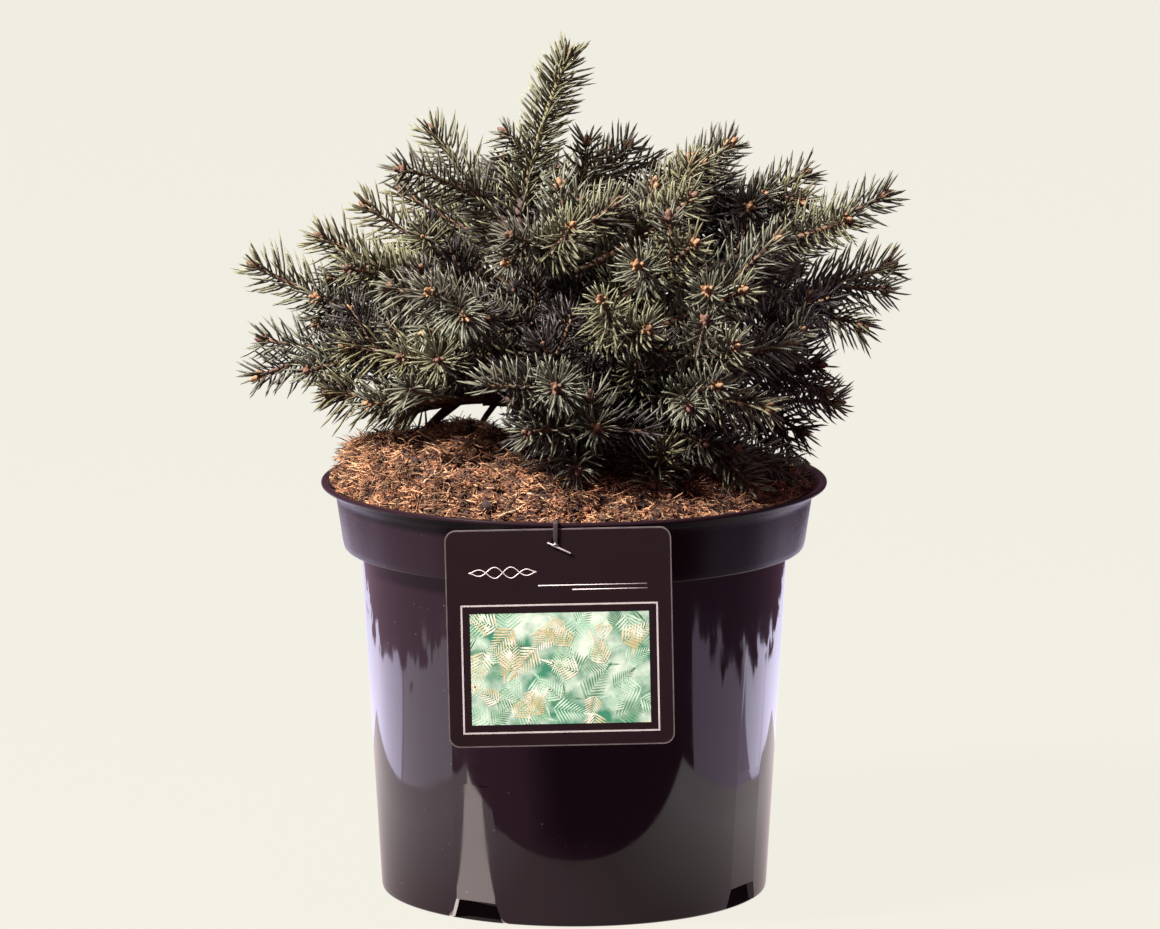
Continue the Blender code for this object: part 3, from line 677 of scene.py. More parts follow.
@dataclass(frozen=True)
class CoirFinish:
    """Matt coir, mottled between two browns."""

    name: str
    tone: Triple
    shade: float = 0.45

    def make(self) -> Material:
        """Build the material.

        Returns:
            The material.
        """
        surface = Surface(self.name, 0.85)
        dark = tuple(part * self.shade for part in self.tone)
        tone = surface.mix(surface.patches(8.0 * MM, 0.40, 0.60), dark, self.tone)
        return surface.done(tone, (1.6 * MM, 0.8, 0.5 * MM, 0.6))


@dataclass(frozen=True)
class PrintFinish:
    """Printed or plain card: a colour with a slight unevenness of the ink."""

    name: str
    ink: Triple
    second: Triple
    roughness: float = 0.38
    patch_size: float = 8.0 * MM

    def make(self) -> Material:
        """Build the material.

        Returns:
            The material.
        """
        surface = Surface(self.name, self.roughness)
        tone = surface.mix(surface.patches(self.patch_size, 0.35, 0.65), self.ink, self.second)
        return surface.done(tone, (0.7 * MM, 0.5, 0.01 * MM, 0.3))


def finish(item: Piece, look: Finish) -> None:
    """Give a piece its material and its body.

    Args:
        item: the piece.
        look: its finish.
    """
    item.data.materials.clear()
    item.data.materials.append(look.make())
    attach(item, "root")
    LOG.info("%s: %d faces", item.name, len(item.data.polygons))


@dataclass
class Pot:
    """The nursery pot, with its flared lip, deep collar, foot notches and flat panels."""

    lip_radius: float = 115.0 * MM
    lip_top: float = 188.5 * MM
    collar_top_radius: float = 108.6 * MM
    collar_low_radius: float = 104.8 * MM
    collar_low: float = 158.0 * MM
    body_top_radius: float = 97.1 * MM
    foot_radius: float = 88.0 * MM
    wall: float = 2.2 * MM
    floor_top: float = 12.2 * MM
    channel_top: float = 10.0 * MM
    channel_inner: float = 59.0 * MM
    channel_outer: float = 85.0 * MM
    notch_angles: tuple[float, ...] = (-120.0, -30.0, 60.0, 150.0)
    notch_width: float = 28.0 * MM
    notch_height: float = 9.0 * MM
    panel_half_width: float = 10.0 * MM
    panel_top: float = 62.0 * MM
    steps: int = 144

    def inner(self, height: float) -> float:
        """Inner radius of the wall at a height."""
        if height > self.collar_low:
            share = (height - self.collar_low) / (self.lip_top - 4.7 * MM - self.collar_low)
            change = self.collar_top_radius - self.collar_low_radius
            return self.collar_low_radius + share * change - self.wall
        share = height / self.collar_low
        return self.foot_radius + share * (self.body_top_radius - self.foot_radius) - self.wall

    def profile(self) -> list[tuple[float, float]]:
        """From the middle of the floor up the inside, over the lip and down the outside.

        Returns:
            Points of (radius, height).
        """
        step = self.collar_low + self.wall
        neck = self.lip_top - 4.7 * MM
        inside = [
            (0.0, 2.5 * MM),
            (self.channel_inner - 2.2 * MM, 2.5 * MM),
            (self.channel_inner - 0.6 * MM, self.floor_top),
            (self.inner(self.floor_top), self.floor_top),
            (self.body_top_radius - self.wall, step),
            (self.inner(step), step),
            (self.inner(neck), neck),
        ]
        lip = (
            (-3.2, -0.5), (-2.2, -0.05), (-1.2, 0.0), (-0.5, -0.15), (-0.1, -0.6),
            (0.0, -1.2), (-0.2, -1.8), (-1.0, -2.3),
        )
        rim = [(self.lip_radius + out * MM, self.lip_top + up * MM) for out, up in lip]
        under = ((1.2, -0.2), (0.3, -0.7), (0.0, -1.6))
        rim += [(self.collar_top_radius + out * MM, neck + up * MM) for out, up in under]
        rim += [(self.inner(z) + self.wall, z) for z in (neck - 3.6 * MM, self.collar_low + 3.6 * MM)]
        edge = ((0.05, 1.6), (-0.15, 0.8), (-0.7, 0.2), (-1.5, 0.0))
        rim += [(self.collar_low_radius + out * MM, self.collar_low + up * MM) for out, up in edge]
        rim += [
            (self.body_top_radius + 0.8 * MM, self.collar_low),
            (self.body_top_radius, self.collar_low - 0.8 * MM),
        ]
        rim += [(self.inner(z) + self.wall, z) for z in (self.collar_low - 3.0 * MM, 3.6 * MM)]

        foot = ((0.05, 1.4), (-0.2, 0.5), (-0.9, 0.0))
        rim += [(self.foot_radius + out * MM, up * MM) for out, up in foot]
        return inside + rim + [
            (self.channel_outer, 0.0),
            (self.channel_outer, self.channel_top),
            (self.channel_inner + 1.6 * MM, self.channel_top),
            (self.channel_inner, 0.0),
            (0.0, 0.0),
        ]

    def build(self) -> None:
        """Turn the pot, cut its foot and dress it."""
        pot = lathe("nursery_pot", self.profile(), self.steps)
        lean = Matrix.Rotation(math.atan2(self.body_top_radius - self.foot_radius, self.collar_low), 4, "X")
        notch = Matrix.Translation((0.0, -self.foot_radius, self.notch_height / 2.0 - 1.0 * MM))
        notch_size = (self.notch_width, 14.0 * MM, self.notch_height + 2.0 * MM)
        chord = math.sqrt(self.foot_radius**2 - self.panel_half_width**2)
        panel = Matrix.Translation((0.0, -(chord + 5.0 * MM), 0.0)) @ lean
        panel = panel @ Matrix.Translation((0.0, 0.0, self.panel_top / 2.0 + 1.0 * MM))
        panel_size = (3.0 * self.panel_half_width, 10.0 * MM, self.panel_top)
        for angle in self.notch_angles:
            turn = Matrix.Rotation(math.radians(angle + 90.0), 4, "Z")
            cut(pot, cutter_box(notch_size, turn @ notch, 0.74))
            cut(pot, cutter_box(panel_size, turn @ panel))
        smooth_by_angle(pot, 24.0)
        finish(pot, PotPlastic())
        collar = PotPlastic("collar_plastic", (0.0160, 0.0070, 0.0112), roughness=0.265, specular=0.10)
        pot.data.materials.append(collar.make())
        for face in pot.data.polygons:
            face.material_index = 1 if face.center.z > self.collar_low - 0.1 * MM else 0
        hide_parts("pot")


@dataclass
class Soil:
    """The heaped coir mix: a rough bed, and the fibres and crumbs that lie on it."""

    pot: Pot
    edge_radius: float = 105.6 * MM
    edge_top: float = 183.5 * MM
    heap: float = 17.0 * MM
    side_heap: float = 11.0 * MM
    high_side: float = math.radians(170.0)
    fall: int = 10
    seat_radius: float = 18.0 * MM
    clear: float = 0.4 * MM
    fullness: int = 40
    full_side: float = math.radians(195.0)
    back_fall: float = 0.19
    crest: tuple[tuple[float, float], ...] = (
        (-112.0, 184.0), (-104.0, 195.5), (-99.0, 203.4), (-90.0, 206.0), (-81.0, 207.4), (-70.0, 208.4),
        (-61.0, 211.4), (-53.0, 213.0), (-45.0, 212.4), (-34.0, 208.6), (-20.0, 206.0), (0.0, 212.0),
    )
    steep_share: float = 0.13
    strand_counts: tuple[int, ...] = (10200, 10800, 6000)
    chip_count: int = 8400
    crumb_count: int = 2600
    nugget_places: tuple[tuple[float, ...], ...] = (
        (-38.0, -95.0, 3.9, 0.6), (-71.0, -62.0, 2.6, 2.0), (-6.0, -92.0, 2.4, 1.1), (30.0, -84.0, 2.7, 2.6),
        (61.0, 52.0, 3.1, 0.2), (-22.0, 74.0, 2.9, 1.7), (84.0, -34.0, 2.5, 3.0), (-88.0, 18.0, 2.6, 0.9),
    )
    stick_places: tuple[tuple[float, ...], ...] = (
        (-27.0, -99.0, 0.2, 15.0), (-17.0, -94.0, -0.5, 11.0), (44.0, -82.0, 0.2, 12.0),
        (-64.0, -74.0, 1.0, 10.0), (70.0, 40.0, 2.2, 13.0), (-40.0, 80.0, 0.4, 12.0),
    )

    def top(self, x: float, y: float) -> float:
        """Height of the heap at a place, as the solid has it."""
        radius = math.hypot(x, y)
        side = math.cos(math.atan2(y, x) - self.high_side) * min(1.0, radius / (45.0 * MM))
        rough = 1.2 * MM * math.sin(x / (7.0 * MM) + 1.3) * math.sin(y / (8.0 * MM) + 0.4)
        fall = 1.0 - min(1.0, radius / self.edge_radius) ** self.fall
        if radius <= self.seat_radius * 1.02:
            return self.edge_top + self.heap
        return self.edge_top + (self.heap + self.side_heap * side + rough) * fall

    def clods(self, x: float, y: float) -> float:
        """Height of the bed with its clods and crumbs."""
        place = Vector((x, y, 0.0))
        coarse = noise.noise(place / (13.0 * MM))
        middle = noise.noise(place / (5.5 * MM) + Vector((7.0, 3.0, 1.0)))
        fine = noise.noise(place / (2.2 * MM) + Vector((1.0, 9.0, 4.0)))
        radius = math.hypot(x, y)
        calm = min(1.0, max(0.0, (radius - 8.0 * MM) / (12.0 * MM)))
        calm *= min(1.0, max(0.15, (self.edge_radius - radius) / (6.0 * MM)))
        share = min(1.0, radius / self.edge_radius)
        side = math.cos(math.atan2(y, x) - self.full_side) * min(1.0, radius / (45.0 * MM))
        filled = (share**self.fall - share**self.fullness) * (self.heap + self.side_heap)
        filled *= max(0.0, side) ** 3
        height = self.top(x, y) + filled + calm * (4.6 * coarse + 4.4 * middle + 2.4 * fine) * MM
        places, heights = zip(*self.crest)
        limit = float(np.interp(x / MM, places, heights)) * MM - self.back_fall * y
        return min(height, limit + (1.8 * middle + 1.2 * fine) * MM)

    def ground(self, x: float, y: float) -> float:
        """Height of what carries the loose mix: the bed, and beyond it the lip's flare."""
        beyond = math.hypot(x, y) - self.edge_radius
        if beyond < 0.0:
            return self.clods(x, y)
        return self.edge_top + 1.0 * MM + beyond * 0.75

    def bed(self) -> None:
        """The potful of mix with its rough top."""
        step = self.pot.collar_low + self.pot.wall + self.clear
        floor = self.pot.floor_top + 0.3 * MM
        seat = self.edge_top + self.heap
        rings = 62
        profile = [(self.edge_radius * index / rings, seat) for index in range(rings)]
        profile += [
            (self.edge_radius, self.edge_top),
            (self.pot.inner(step) - self.clear, step),
            (self.pot.body_top_radius - self.pot.wall - self.clear, step),
            (self.pot.inner(floor) - self.clear, floor),
            (self.pot.channel_inner - 1.3 * MM, floor),
            (self.pot.channel_inner - 3.0 * MM, 2.8 * MM),
            (0.0, 2.8 * MM),
        ]
        bed = lathe("soil_bed", profile, 200)
        for vert in bed.data.vertices:
            if vert.co.z > self.edge_top + 0.1 * MM:
                vert.co.z = self.clods(vert.co.x, vert.co.y)
        bpy.ops.object.shade_smooth()
        finish(bed, CoirFinish("coir_bed", (0.060, 0.023, 0.015), 0.45))
        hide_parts("soil")

    def scatter(self, dice: Random) -> tuple[float, float]:
        """A random place on the heap, evenly over its area, on the lip, and on its steep full side."""
        if dice.random() < self.steep_share:
            angle = dice.gauss(self.full_side, 0.6)
            radius = self.edge_radius * dice.uniform(0.945, 1.0)
            return radius * math.cos(angle), radius * math.sin(angle)
        angle = dice.uniform(-math.pi, math.pi)
        spill = 2.0 * MM + 3.0 * MM * max(0.0, math.cos(angle - self.high_side))
        radius = math.sqrt(dice.uniform(0.0, 1.0)) * (self.edge_radius + spill)
        return radius * math.cos(angle), radius * math.sin(angle)

    def loft(self, x: float, y: float) -> float:
        """How high the loose mix stands off the bed at a place, from 0 up to about 1.4."""
        return max(0.0, 0.45 + 1.5 * noise.noise(Vector((x, y, 0.0)) / (5.0 * MM) + Vector((3.0, 5.0, 8.0))))

    def strand(self, dice: Random, low: float, high: float) -> tuple[Line, float]:
        """One curly fibre of the loose mix.

        Args:
            dice: the random source.
            low: the least loft that suits its colour.
            high: the most.

        Returns:
            Its four points and its radius.
        """
        for _ in range(4):
            x, y = self.scatter(dice)
            loft = self.loft(x, y)
            if low <= loft <= high:
                break
        heading = dice.uniform(-math.pi, math.pi)
        length = dice.choice((2.0, 2.6, 3.4, 4.4, 6.0, 9.0)) * dice.uniform(0.8, 1.2) * MM
        curl = dice.uniform(-1.9, 1.9)
        tilt = dice.gauss(0.0, 0.46)
        start = self.ground(x, y) + dice.uniform(0.0, 2.6) * loft * MM - min(0.0, tilt) * length * 0.5
        points = []
        for index in range(4):
            share = index / 3.0
            height = start + tilt * length * share * (1.0 - 0.35 * share)
            points.append(Vector((x, y, max(height, self.ground(x, y) + 0.05 * MM))))
            heading += curl * 0.4 + dice.uniform(-0.12, 0.12)
            x += math.cos(heading) * length / 3.0
            y += math.sin(heading) * length / 3.0
            limit = (self.edge_radius + 5.5 * MM) / max(math.hypot(x, y), 1.0 * MM)
            x *= min(1.0, limit)
            y *= min(1.0, limit)
        return points, dice.choice((0.14, 0.18, 0.22, 0.27, 0.34)) * dice.uniform(0.85, 1.15) * MM

    def fibres(self) -> None:
        """The loose strands, in three colours."""
        lofts = ((0.45, 2.0), (0.1, 1.2), (0.0, 0.7))
        for kind, count, (low, high) in zip(Fibre, self.strand_counts, lofts):
            name = "coir_" + kind.name.lower()
            dice = Random(kind.name)
            lines, sizes = zip(*[self.strand(dice, low, high) for _ in range(count)])
            radii = np.array(sizes)[:, None] * np.array((0.6, 1.0, 0.9))
            across = np.tile((0.0, 0.0, 1.0), (count, 1))
            places = np.array([[tuple(point) for point in line] for line in lines])
            finish(strands(name, places, radii, 3, across), CoirFinish(name, kind.value, 0.34))

    def chips(self) -> None:
        """Flat chips of husk, lying every way on the bed."""
        dice = Random("chips")
        places: list[list[Matrix]] = [[], [], []]
        for _ in range(self.chip_count):
            x, y = self.scatter(dice)
            size = dice.choice((0.8, 1.0, 1.3, 1.7, 2.3)) * dice.uniform(0.8, 1.2) * MM
            turn = Matrix.Rotation(dice.uniform(-math.pi, math.pi), 4, "Z")
            turn = turn @ Matrix.Rotation(dice.gauss(0.0, 0.6), 4, "X")
            turn = turn @ Matrix.Rotation(dice.gauss(0.0, 0.5), 4, "Y")
            shape = Matrix.Diagonal((size, size * dice.uniform(0.14, 0.36), 0.35 * MM, 1.0))
            loft = self.loft(x, y)
            where = Matrix.Translation((x, y, self.ground(x, y) + dice.uniform(0.1, 2.2) * loft * MM))
            odds = (7, 5, 1) if loft > 0.6 else (2, 6, 6)
            places[dice.choices((0, 1, 2), odds)[0]].append(where @ turn @ shape)
        tones = {"pale": (0.62, 0.32, 0.16), "red": (0.30, 0.115, 0.055), "dark": (0.085, 0.032, 0.023)}
        for (kind, tone), spots in zip(tones.items(), places):
            chip = drawn("chip", bpy.ops.mesh.primitive_cylinder_add, vertices=7, radius=1.0, depth=1.0)
            item = copies("coir_chips_" + kind, strewn(chip, 0.28, 5), spots)
            finish(item, CoirFinish("coir_chips_" + kind, tone, 0.36))

    def crumbs(self) -> None:
        """Small lumps of pith between the fibres."""
        dice = Random("crumbs")
        places = []
        for _ in range(self.crumb_count):
            x, y = self.scatter(dice)
            size = dice.choice((0.5, 0.7, 0.9, 1.3, 2.0)) * dice.uniform(0.8, 1.2) * MM
            turn = Quaternion([dice.gauss(0, 1) for _ in range(4)]).normalized().to_matrix().to_4x4()
            sides = [size * share for share in (1.0, dice.uniform(0.5, 1.0), dice.uniform(0.4, 0.9))]
            shape = Matrix.Diagonal((*sides, 1.0))
            places.append(Matrix.Translation((x, y, self.ground(x, y) + size * 0.3)) @ turn @ shape)
        lump = drawn("lump", bpy.ops.mesh.primitive_ico_sphere_add, subdivisions=1, radius=1.0)
        item = copies("coir_crumbs", strewn(lump, 0.3, 3), places)
        finish(item, CoirFinish("coir_crumbs", (0.20, 0.080, 0.045), 0.3))

    def lumps(self) -> None:
        """A few large dark nuggets of husk."""
        places = []
        for x, y, size, turn in self.nugget_places:
            where = Matrix.Translation((x * MM, y * MM, self.ground(x * MM, y * MM) + 0.45 * size * MM))
            shape = Matrix.Diagonal((size * MM, size * 0.8 * MM, size * 0.7 * MM, 1.0))
            places.append(where @ Matrix.Rotation(turn, 4, "Z") @ Matrix.Rotation(turn, 4, "X") @ shape)
        lump = drawn("lump", bpy.ops.mesh.primitive_ico_sphere_add, subdivisions=3, radius=1.0)
        item = copies("coir_nuggets", strewn(lump, 0.10, 4), places)
        finish(item, CoirFinish("coir_nuggets", (0.050, 0.021, 0.020), 0.5))

    def sticks(self) -> None:
        """A few long pale sticks lying on the mix."""
        radii = [size * MM for size in (0.42, 0.5, 0.5, 0.46, 0.42, 0.36, 0.22)]
        tubes = []
        for x, y, heading, length in self.stick_places:
            part = []
            for step in range(7):
                away = (step / 6.0 - 0.5) * length
                place = Vector((x + away * math.cos(heading), y + away * math.sin(heading), 0.0)) * MM
                bow = 1.0 * math.sin(step / 6.0 * math.pi)
                place.z = self.ground(place.x, place.y) + (1.2 + bow) * MM
                part.append(place)
            middle = sum(point.z for point in part) / len(part)
            for point in part:
                point.z = max(point.z * 0.4 + middle * 0.6, self.ground(point.x, point.y) + 0.3 * MM)
            tubes.append((part, radii))
        item = curve_tubes("coir_sticks", tubes, 6)
        finish(item, CoirFinish("coir_sticks", (0.74, 0.52, 0.33), 0.7))

    def build(self) -> None:
        """Make the bed and all that lies on it."""
        self.bed()
        self.fibres()
        self.chips()
        self.crumbs()
        self.lumps()
        self.sticks()


@dataclass
class Tag:
    """The hanging card: dark print, a pale rim, a framed picture of plain leaves."""

    size: Triple = (99.8 * MM, 0.8 * MM, 97.6 * MM)
    centre: Vector = field(default_factory=lambda: Vector((-6.2 * MM, -115.75 * MM, 137.6 * MM)))
    tilt: float = math.radians(-1.2)
    corner: float = 5.0 * MM
    slot_centre: Vector = field(default_factory=lambda: Vector((-8.1 * MM, -115.75 * MM, 180.9 * MM)))
    picture_size: tuple[float, float] = (79.0 * MM, 50.0 * MM)
    picture_low: float = 10.0 * MM
    print_depth: float = 0.05 * MM
    pale_ink: tuple[Triple, Triple] = ((0.62, 0.55, 0.56), (0.52, 0.46, 0.47))
    frame_margin: float = 4.0 * MM
    frame_width: float = 0.75 * MM

    def place(self) -> Matrix:
        """Where the card hangs, as a matrix."""
        return Matrix.Translation(self.centre) @ Matrix.Rotation(self.tilt, 4, "Y")

    def card(self) -> None:
        """The card itself, its cut edge paler than its print."""
        card = drawn("tag_card", bpy.ops.mesh.primitive_cube_add, size=1.0)
        settle(card, Matrix.Diagonal((*self.size, 1.0)))
        with editing(card):
            pick(card, "EDGE", lambda edge: abs((edge.verts[0].co - edge.verts[1].co).normalized().y) > 0.9)
            bpy.ops.mesh.bevel(offset=self.corner, segments=8, affect="EDGES")
            pick(card, "FACE", lambda face: face.normal.y < -0.9)
            bpy.ops.mesh.inset(thickness=0.55 * MM, depth=0.0)
        settle(card, self.place())
        cut(card, cutter_box((3.4 * MM, 6.0 * MM, 2.4 * MM), Matrix.Translation(self.slot_centre)))
        finish(card, PrintFinish("tag_print", (0.0108, 0.0042, 0.0058), (0.0092, 0.0035, 0.0048)))
        rim = PrintFinish("tag_rim", (0.15, 0.12, 0.125), (0.10, 0.08, 0.085), 0.5)
        card.data.materials.append(rim.make())
        inverse = self.place().inverted()
        for face in card.data.polygons:
            middle = inverse @ face.center
            beside = max(abs(middle.x) / self.size[0], abs(middle.z) / self.size[2]) > 0.475
            pale = face.normal.y < -0.9 and face.area < 60.0 * MM * MM and beside
            face.material_index = 1 if pale or abs(face.normal.y) < 0.5 else 0
        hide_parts("tag")

    def picture_centre(self) -> float:
        """Height of the picture's middle above the card's."""
        return -self.size[2] / 2.0 + self.picture_low + self.picture_size[1] / 2.0

    def sheet(self, name: str, width: float, height: float) -> Piece:
        """A thin flat piece lying on the card round the picture's middle.

        Args:
            name: the piece's name.
            width: its width.
            height: its height.

        Returns:
            The piece, drawn round the card's centre.
        """
        item = drawn(name, bpy.ops.mesh.primitive_cube_add, size=1.0)
        middle = Matrix.Translation((0.0, -self.size[1] / 2.0, self.picture_centre()))
        settle(item, middle @ Matrix.Diagonal((width, 2.0 * self.print_depth, height, 1.0)))
        return item

    def frame_line(self) -> None:
        """The thin pale line round the picture."""
        width, height = (side + 2.0 * self.frame_margin for side in self.picture_size)
        item = self.sheet("tag_frame_line", width, height)
        with editing(item):
            pick(item, "FACE", lambda face: abs(face.normal.y) > 0.9)
            bpy.ops.mesh.inset(thickness=self.frame_width, depth=0.0)
            bpy.ops.mesh.bridge_edge_loops()
        settle(item, self.place())
        finish(item, PrintFinish("tag_line_ink", *self.pale_ink))

    def picture(self) -> None:
        """A plain design of scattered sprigs in cream, mint and green."""
        ground = self.sheet("tag_picture", *self.picture_size)
        settle(ground, self.place())
        mint = PrintFinish("tag_mint", (0.05, 0.25, 0.15), (0.74, 0.85, 0.73), 0.35, 11.0 * MM)
        finish(ground, mint)
        inks = (
            ("green", "tag_leaf", (0.05, 0.15, 0.08), (0.26, 0.46, 0.28)),
            ("mint", "tag_pale", (0.66, 0.84, 0.68), (0.38, 0.64, 0.46)),
            ("cream", "tag_cream", (0.92, 0.90, 0.78), (0.60, 0.50, 0.26)),
        )
        dice = Random("sprigs")
        half_width, half_height = (side / 2.0 for side in self.picture_size)
        for layer, (name, *ink) in enumerate(inks):
            depth = -self.size[1] / 2.0 - self.print_depth - 0.03 * layer * MM
            places = []
            for column, row in product(range(6), range(4)):
                x = half_width * ((column + dice.uniform(0.0, 1.0)) / 3.0 - 1.0)
                z = half_height * ((row + dice.uniform(0.0, 1.0)) / 2.0 - 1.0)
                sprig = Matrix.Translation((x, depth, z + self.picture_centre()))
                sprig = sprig @ Matrix.Rotation(dice.uniform(-math.pi, math.pi), 4, "Y")
                places += [sprig @ place for place in self.leaf_places(dice.uniform(0.8, 1.25))]
            item = copies("tag_sprigs_" + name, self.leaf(), places)
            item.data.polygons.foreach_set("use_smooth", [False] * len(item.data.polygons))
            self.trim(item)
            settle(item, self.place())
            finish(item, PrintFinish(*ink, 0.35, 6.0 * MM))

    def leaf_places(self, scale: float) -> list[Matrix]:
        """Where the leaves of one sprig stand, its stem's foot at the origin.

        Args:
            scale: the sprig's size.

        Returns:
            The leaves' places.
        """
        found = [Matrix.Translation((0.0, 0.0, 14.5 * scale * MM))]
        for number in range(12):
            height = (0.6 + 1.25 * number) * scale * MM
            size = scale * (1.0 - 0.07 * number)
            for side in (-1.0, 1.0):
                turn = Matrix.Rotation(side * math.radians(54.0 - 2.0 * number), 4, "Y")
                leaf = Matrix.Translation((0.0, 0.0, height)) @ turn @ Matrix.Scale(size, 4)
                found.append(leaf @ Matrix.Translation((0.0, 0.0, 3.0 * MM)))
        return found

    def trim(self, item: Piece) -> None:
        """Take off what goes over the picture's edges."""
        half_width, half_height = (side / 2.0 for side in self.picture_size)
        middle = Vector((0.0, 0.0, self.picture_centre()))
        with editing(item):
            for way in ((1.0, 0.0, 0.0), (-1.0, 0.0, 0.0), (0.0, 0.0, 1.0), (0.0, 0.0, -1.0)):
                edge = middle + Vector((half_width * way[0], 0.0, half_height * way[2]))
                bpy.ops.mesh.select_all(action="SELECT")
                bpy.ops.mesh.bisect(plane_co=edge, plane_no=way, use_fill=True, clear_outer=True)

    def leaf(self) -> Piece:
        """One flat narrow leaf, drawn round the origin."""
        reach = 3.4 * MM
        disc = {"vertices": 8, "radius": reach, "depth": 0.03 * MM, "rotation": (math.pi / 2.0, 0.0, 0.0)}
        leaf = drawn("leaf", bpy.ops.mesh.primitive_cylinder_add, **disc)
        settle(leaf)
        for vert in leaf.data.vertices:
            vert.co.x *= 0.12 * (1.0 - 0.45 * (abs(vert.co.z) / reach) ** 2)
        return leaf

    def flourish(self) -> None:
        """A small plaited ornament and two thin rules above the picture."""
        depth = -self.size[1] / 2.0 - 0.02 * MM
        lines = []
        for sign in (-1.0, 1.0):
            wave = []
            for number in range(49):
                share = number / 48.0
                swell = sign * 2.6 * math.sin(share * math.pi) ** 0.7 * math.sin(share * 4.0 * math.pi)
                wave.append(Vector(((-39.5 + 30.0 * share) * MM, depth, (29.5 + swell) * MM)))
            lines.append(wave)
        for left, height in ((-9.0, 23.4), (6.0, 21.4)):
            lines.append([Vector((end * MM, depth, height * MM)) for end in (left, 39.0)])
        item = curve_tubes("tag_flourish", [(line, [0.3 * MM] * len(line)) for line in lines], 4)
        for vert in item.data.vertices:
            vert.co.y = depth + (vert.co.y - depth) * 0.1
        settle(item, self.place())
        finish(item, PrintFinish("tag_flourish_ink", *self.pale_ink))

    def build(self) -> None:
        """Make the card and what is printed on it."""
        self.card()
        self.frame_line()
        self.flourish()
        self.picture()


@dataclass
class Tie:
    """The strap over the lip and into the card's slot, with its hook and small bar."""

    tag: Tag
    pot: Pot
    width: float = 2.0 * MM
    thick: float = 0.7 * MM
    edge: float = 0.15 * MM

    def strap(self) -> None:
        """The dark strap."""
        front = self.pot.lip_radius + self.tag.size[1] + 0.7 * MM
        rest = self.tag.slot_centre.z - self.thick / 2.0
        lip_top = self.pot.lip_top
        inner = self.pot.lip_radius - 1.5 * MM
        foot = 178.2 * MM
        outline = [
            (106.9 * MM, 183.9 * MM),
            (112.7 * MM, lip_top + 0.5 * MM),
            (115.5 * MM, lip_top + 0.5 * MM),
            (front, lip_top),
            (front, rest + self.thick),
            (inner, rest + self.thick),
            (inner, rest),
            (front, rest),
            (front, foot),
            (front + self.thick, foot),
            (front + self.thick, lip_top + 0.4 * MM),
            (115.7 * MM, lip_top + 1.2 * MM),
            (112.5 * MM, lip_top + 1.2 * MM),
            (106.5 * MM, 184.5 * MM),
        ]
        left = self.tag.slot_centre.x - self.width / 2.0
        strap = wire("tag_strap", [(left, -radius, height) for radius, height in outline])
        with editing(strap, "SELECT"):
            bpy.ops.mesh.edge_face_add()
            bpy.ops.mesh.extrude_region_move(TRANSFORM_OT_translate={"value": (self.width, 0.0, 0.0)})
            bpy.ops.mesh.select_all(action="SELECT")
            bpy.ops.mesh.normals_make_consistent(inside=False)
        soften(strap, self.edge, 35.0)
        finish(strap, PrintFinish("strap_plastic", (0.035, 0.024, 0.028), (0.05, 0.036, 0.04)))
        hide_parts("tag_tie")

    def bar(self) -> None:
        """The pale bar across the strap's end, with the small hook above it."""
        depth = -(self.pot.lip_radius + self.tag.size[1] + 0.7 * MM + self.thick / 2.0)
        start = Vector((-11.6 * MM, depth, 180.2 * MM))
        end = Vector((-1.4 * MM, depth, 175.4 * MM))
        along = end - start
        rod = bpy.ops.mesh.primitive_cylinder_add
        bar = drawn("tag_strap_bar", rod, vertices=10, radius=0.42 * MM, depth=along.length)
        turn = along.to_track_quat("Z", "Y").to_matrix().to_4x4()
        settle(bar, Matrix.Translation((start + end) / 2.0) @ turn)
        soften(bar, self.edge, 50.0)
        cone = bpy.ops.mesh.primitive_cone_add
        hook = drawn("tag_strap_hook", cone, vertices=3, radius1=1.9 * MM, radius2=0.3 * MM, depth=1.2 * MM)
        above = Matrix.Translation((-8.2 * MM, depth - 0.35 * MM, 179.6 * MM))
        settle(hook, above @ Matrix.Rotation(math.radians(78.0), 4, "X"))
        for item in (bar, hook):
            finish(item, PrintFinish("strap_pale", (0.42, 0.36, 0.37), (0.55, 0.49, 0.50)))

    def build(self) -> None:
        """Make the strap and its bar."""
        self.strap()
        self.bar()


def bezier(start: Vector, bend: Vector, end: Vector, steps: int = 40) -> Line:
    """Points along a quadratic curve that bends towards a point."""
    shares = [index / steps for index in range(steps + 1)]
    return [start * (1.0 - t) ** 2 + bend * 2.0 * t * (1.0 - t) + end * t * t for t in shares]


def length_of(points: Line) -> float:
    """Length along a line of points."""
    return sum((b - a).length for a, b in zip(points, points[1:]))


def point_at(points: Line, distance: float) -> Vector:
    """The place a given way along a line of points.

    Args:
        points: the line.
        distance: how far along it.

    Returns:
        The place, on the last step's run where it lies past the end.
    """
    left = max(0.0, distance)
    for first, second in zip(points, points[1:]):
        span = (second - first).length
        if left <= span:
            return first.lerp(second, left / span)
        left -= span
    return points[-1] + (points[-1] - points[-2]).normalized() * left


def stretch(points: Line, start: float, end: float, step: float) -> Line:
    """The part of a line between two distances, at even steps."""
    count = max(1, round((end - start) / step))
    return [point_at(points, start + (end - start) * index / count) for index in range(count + 1)]


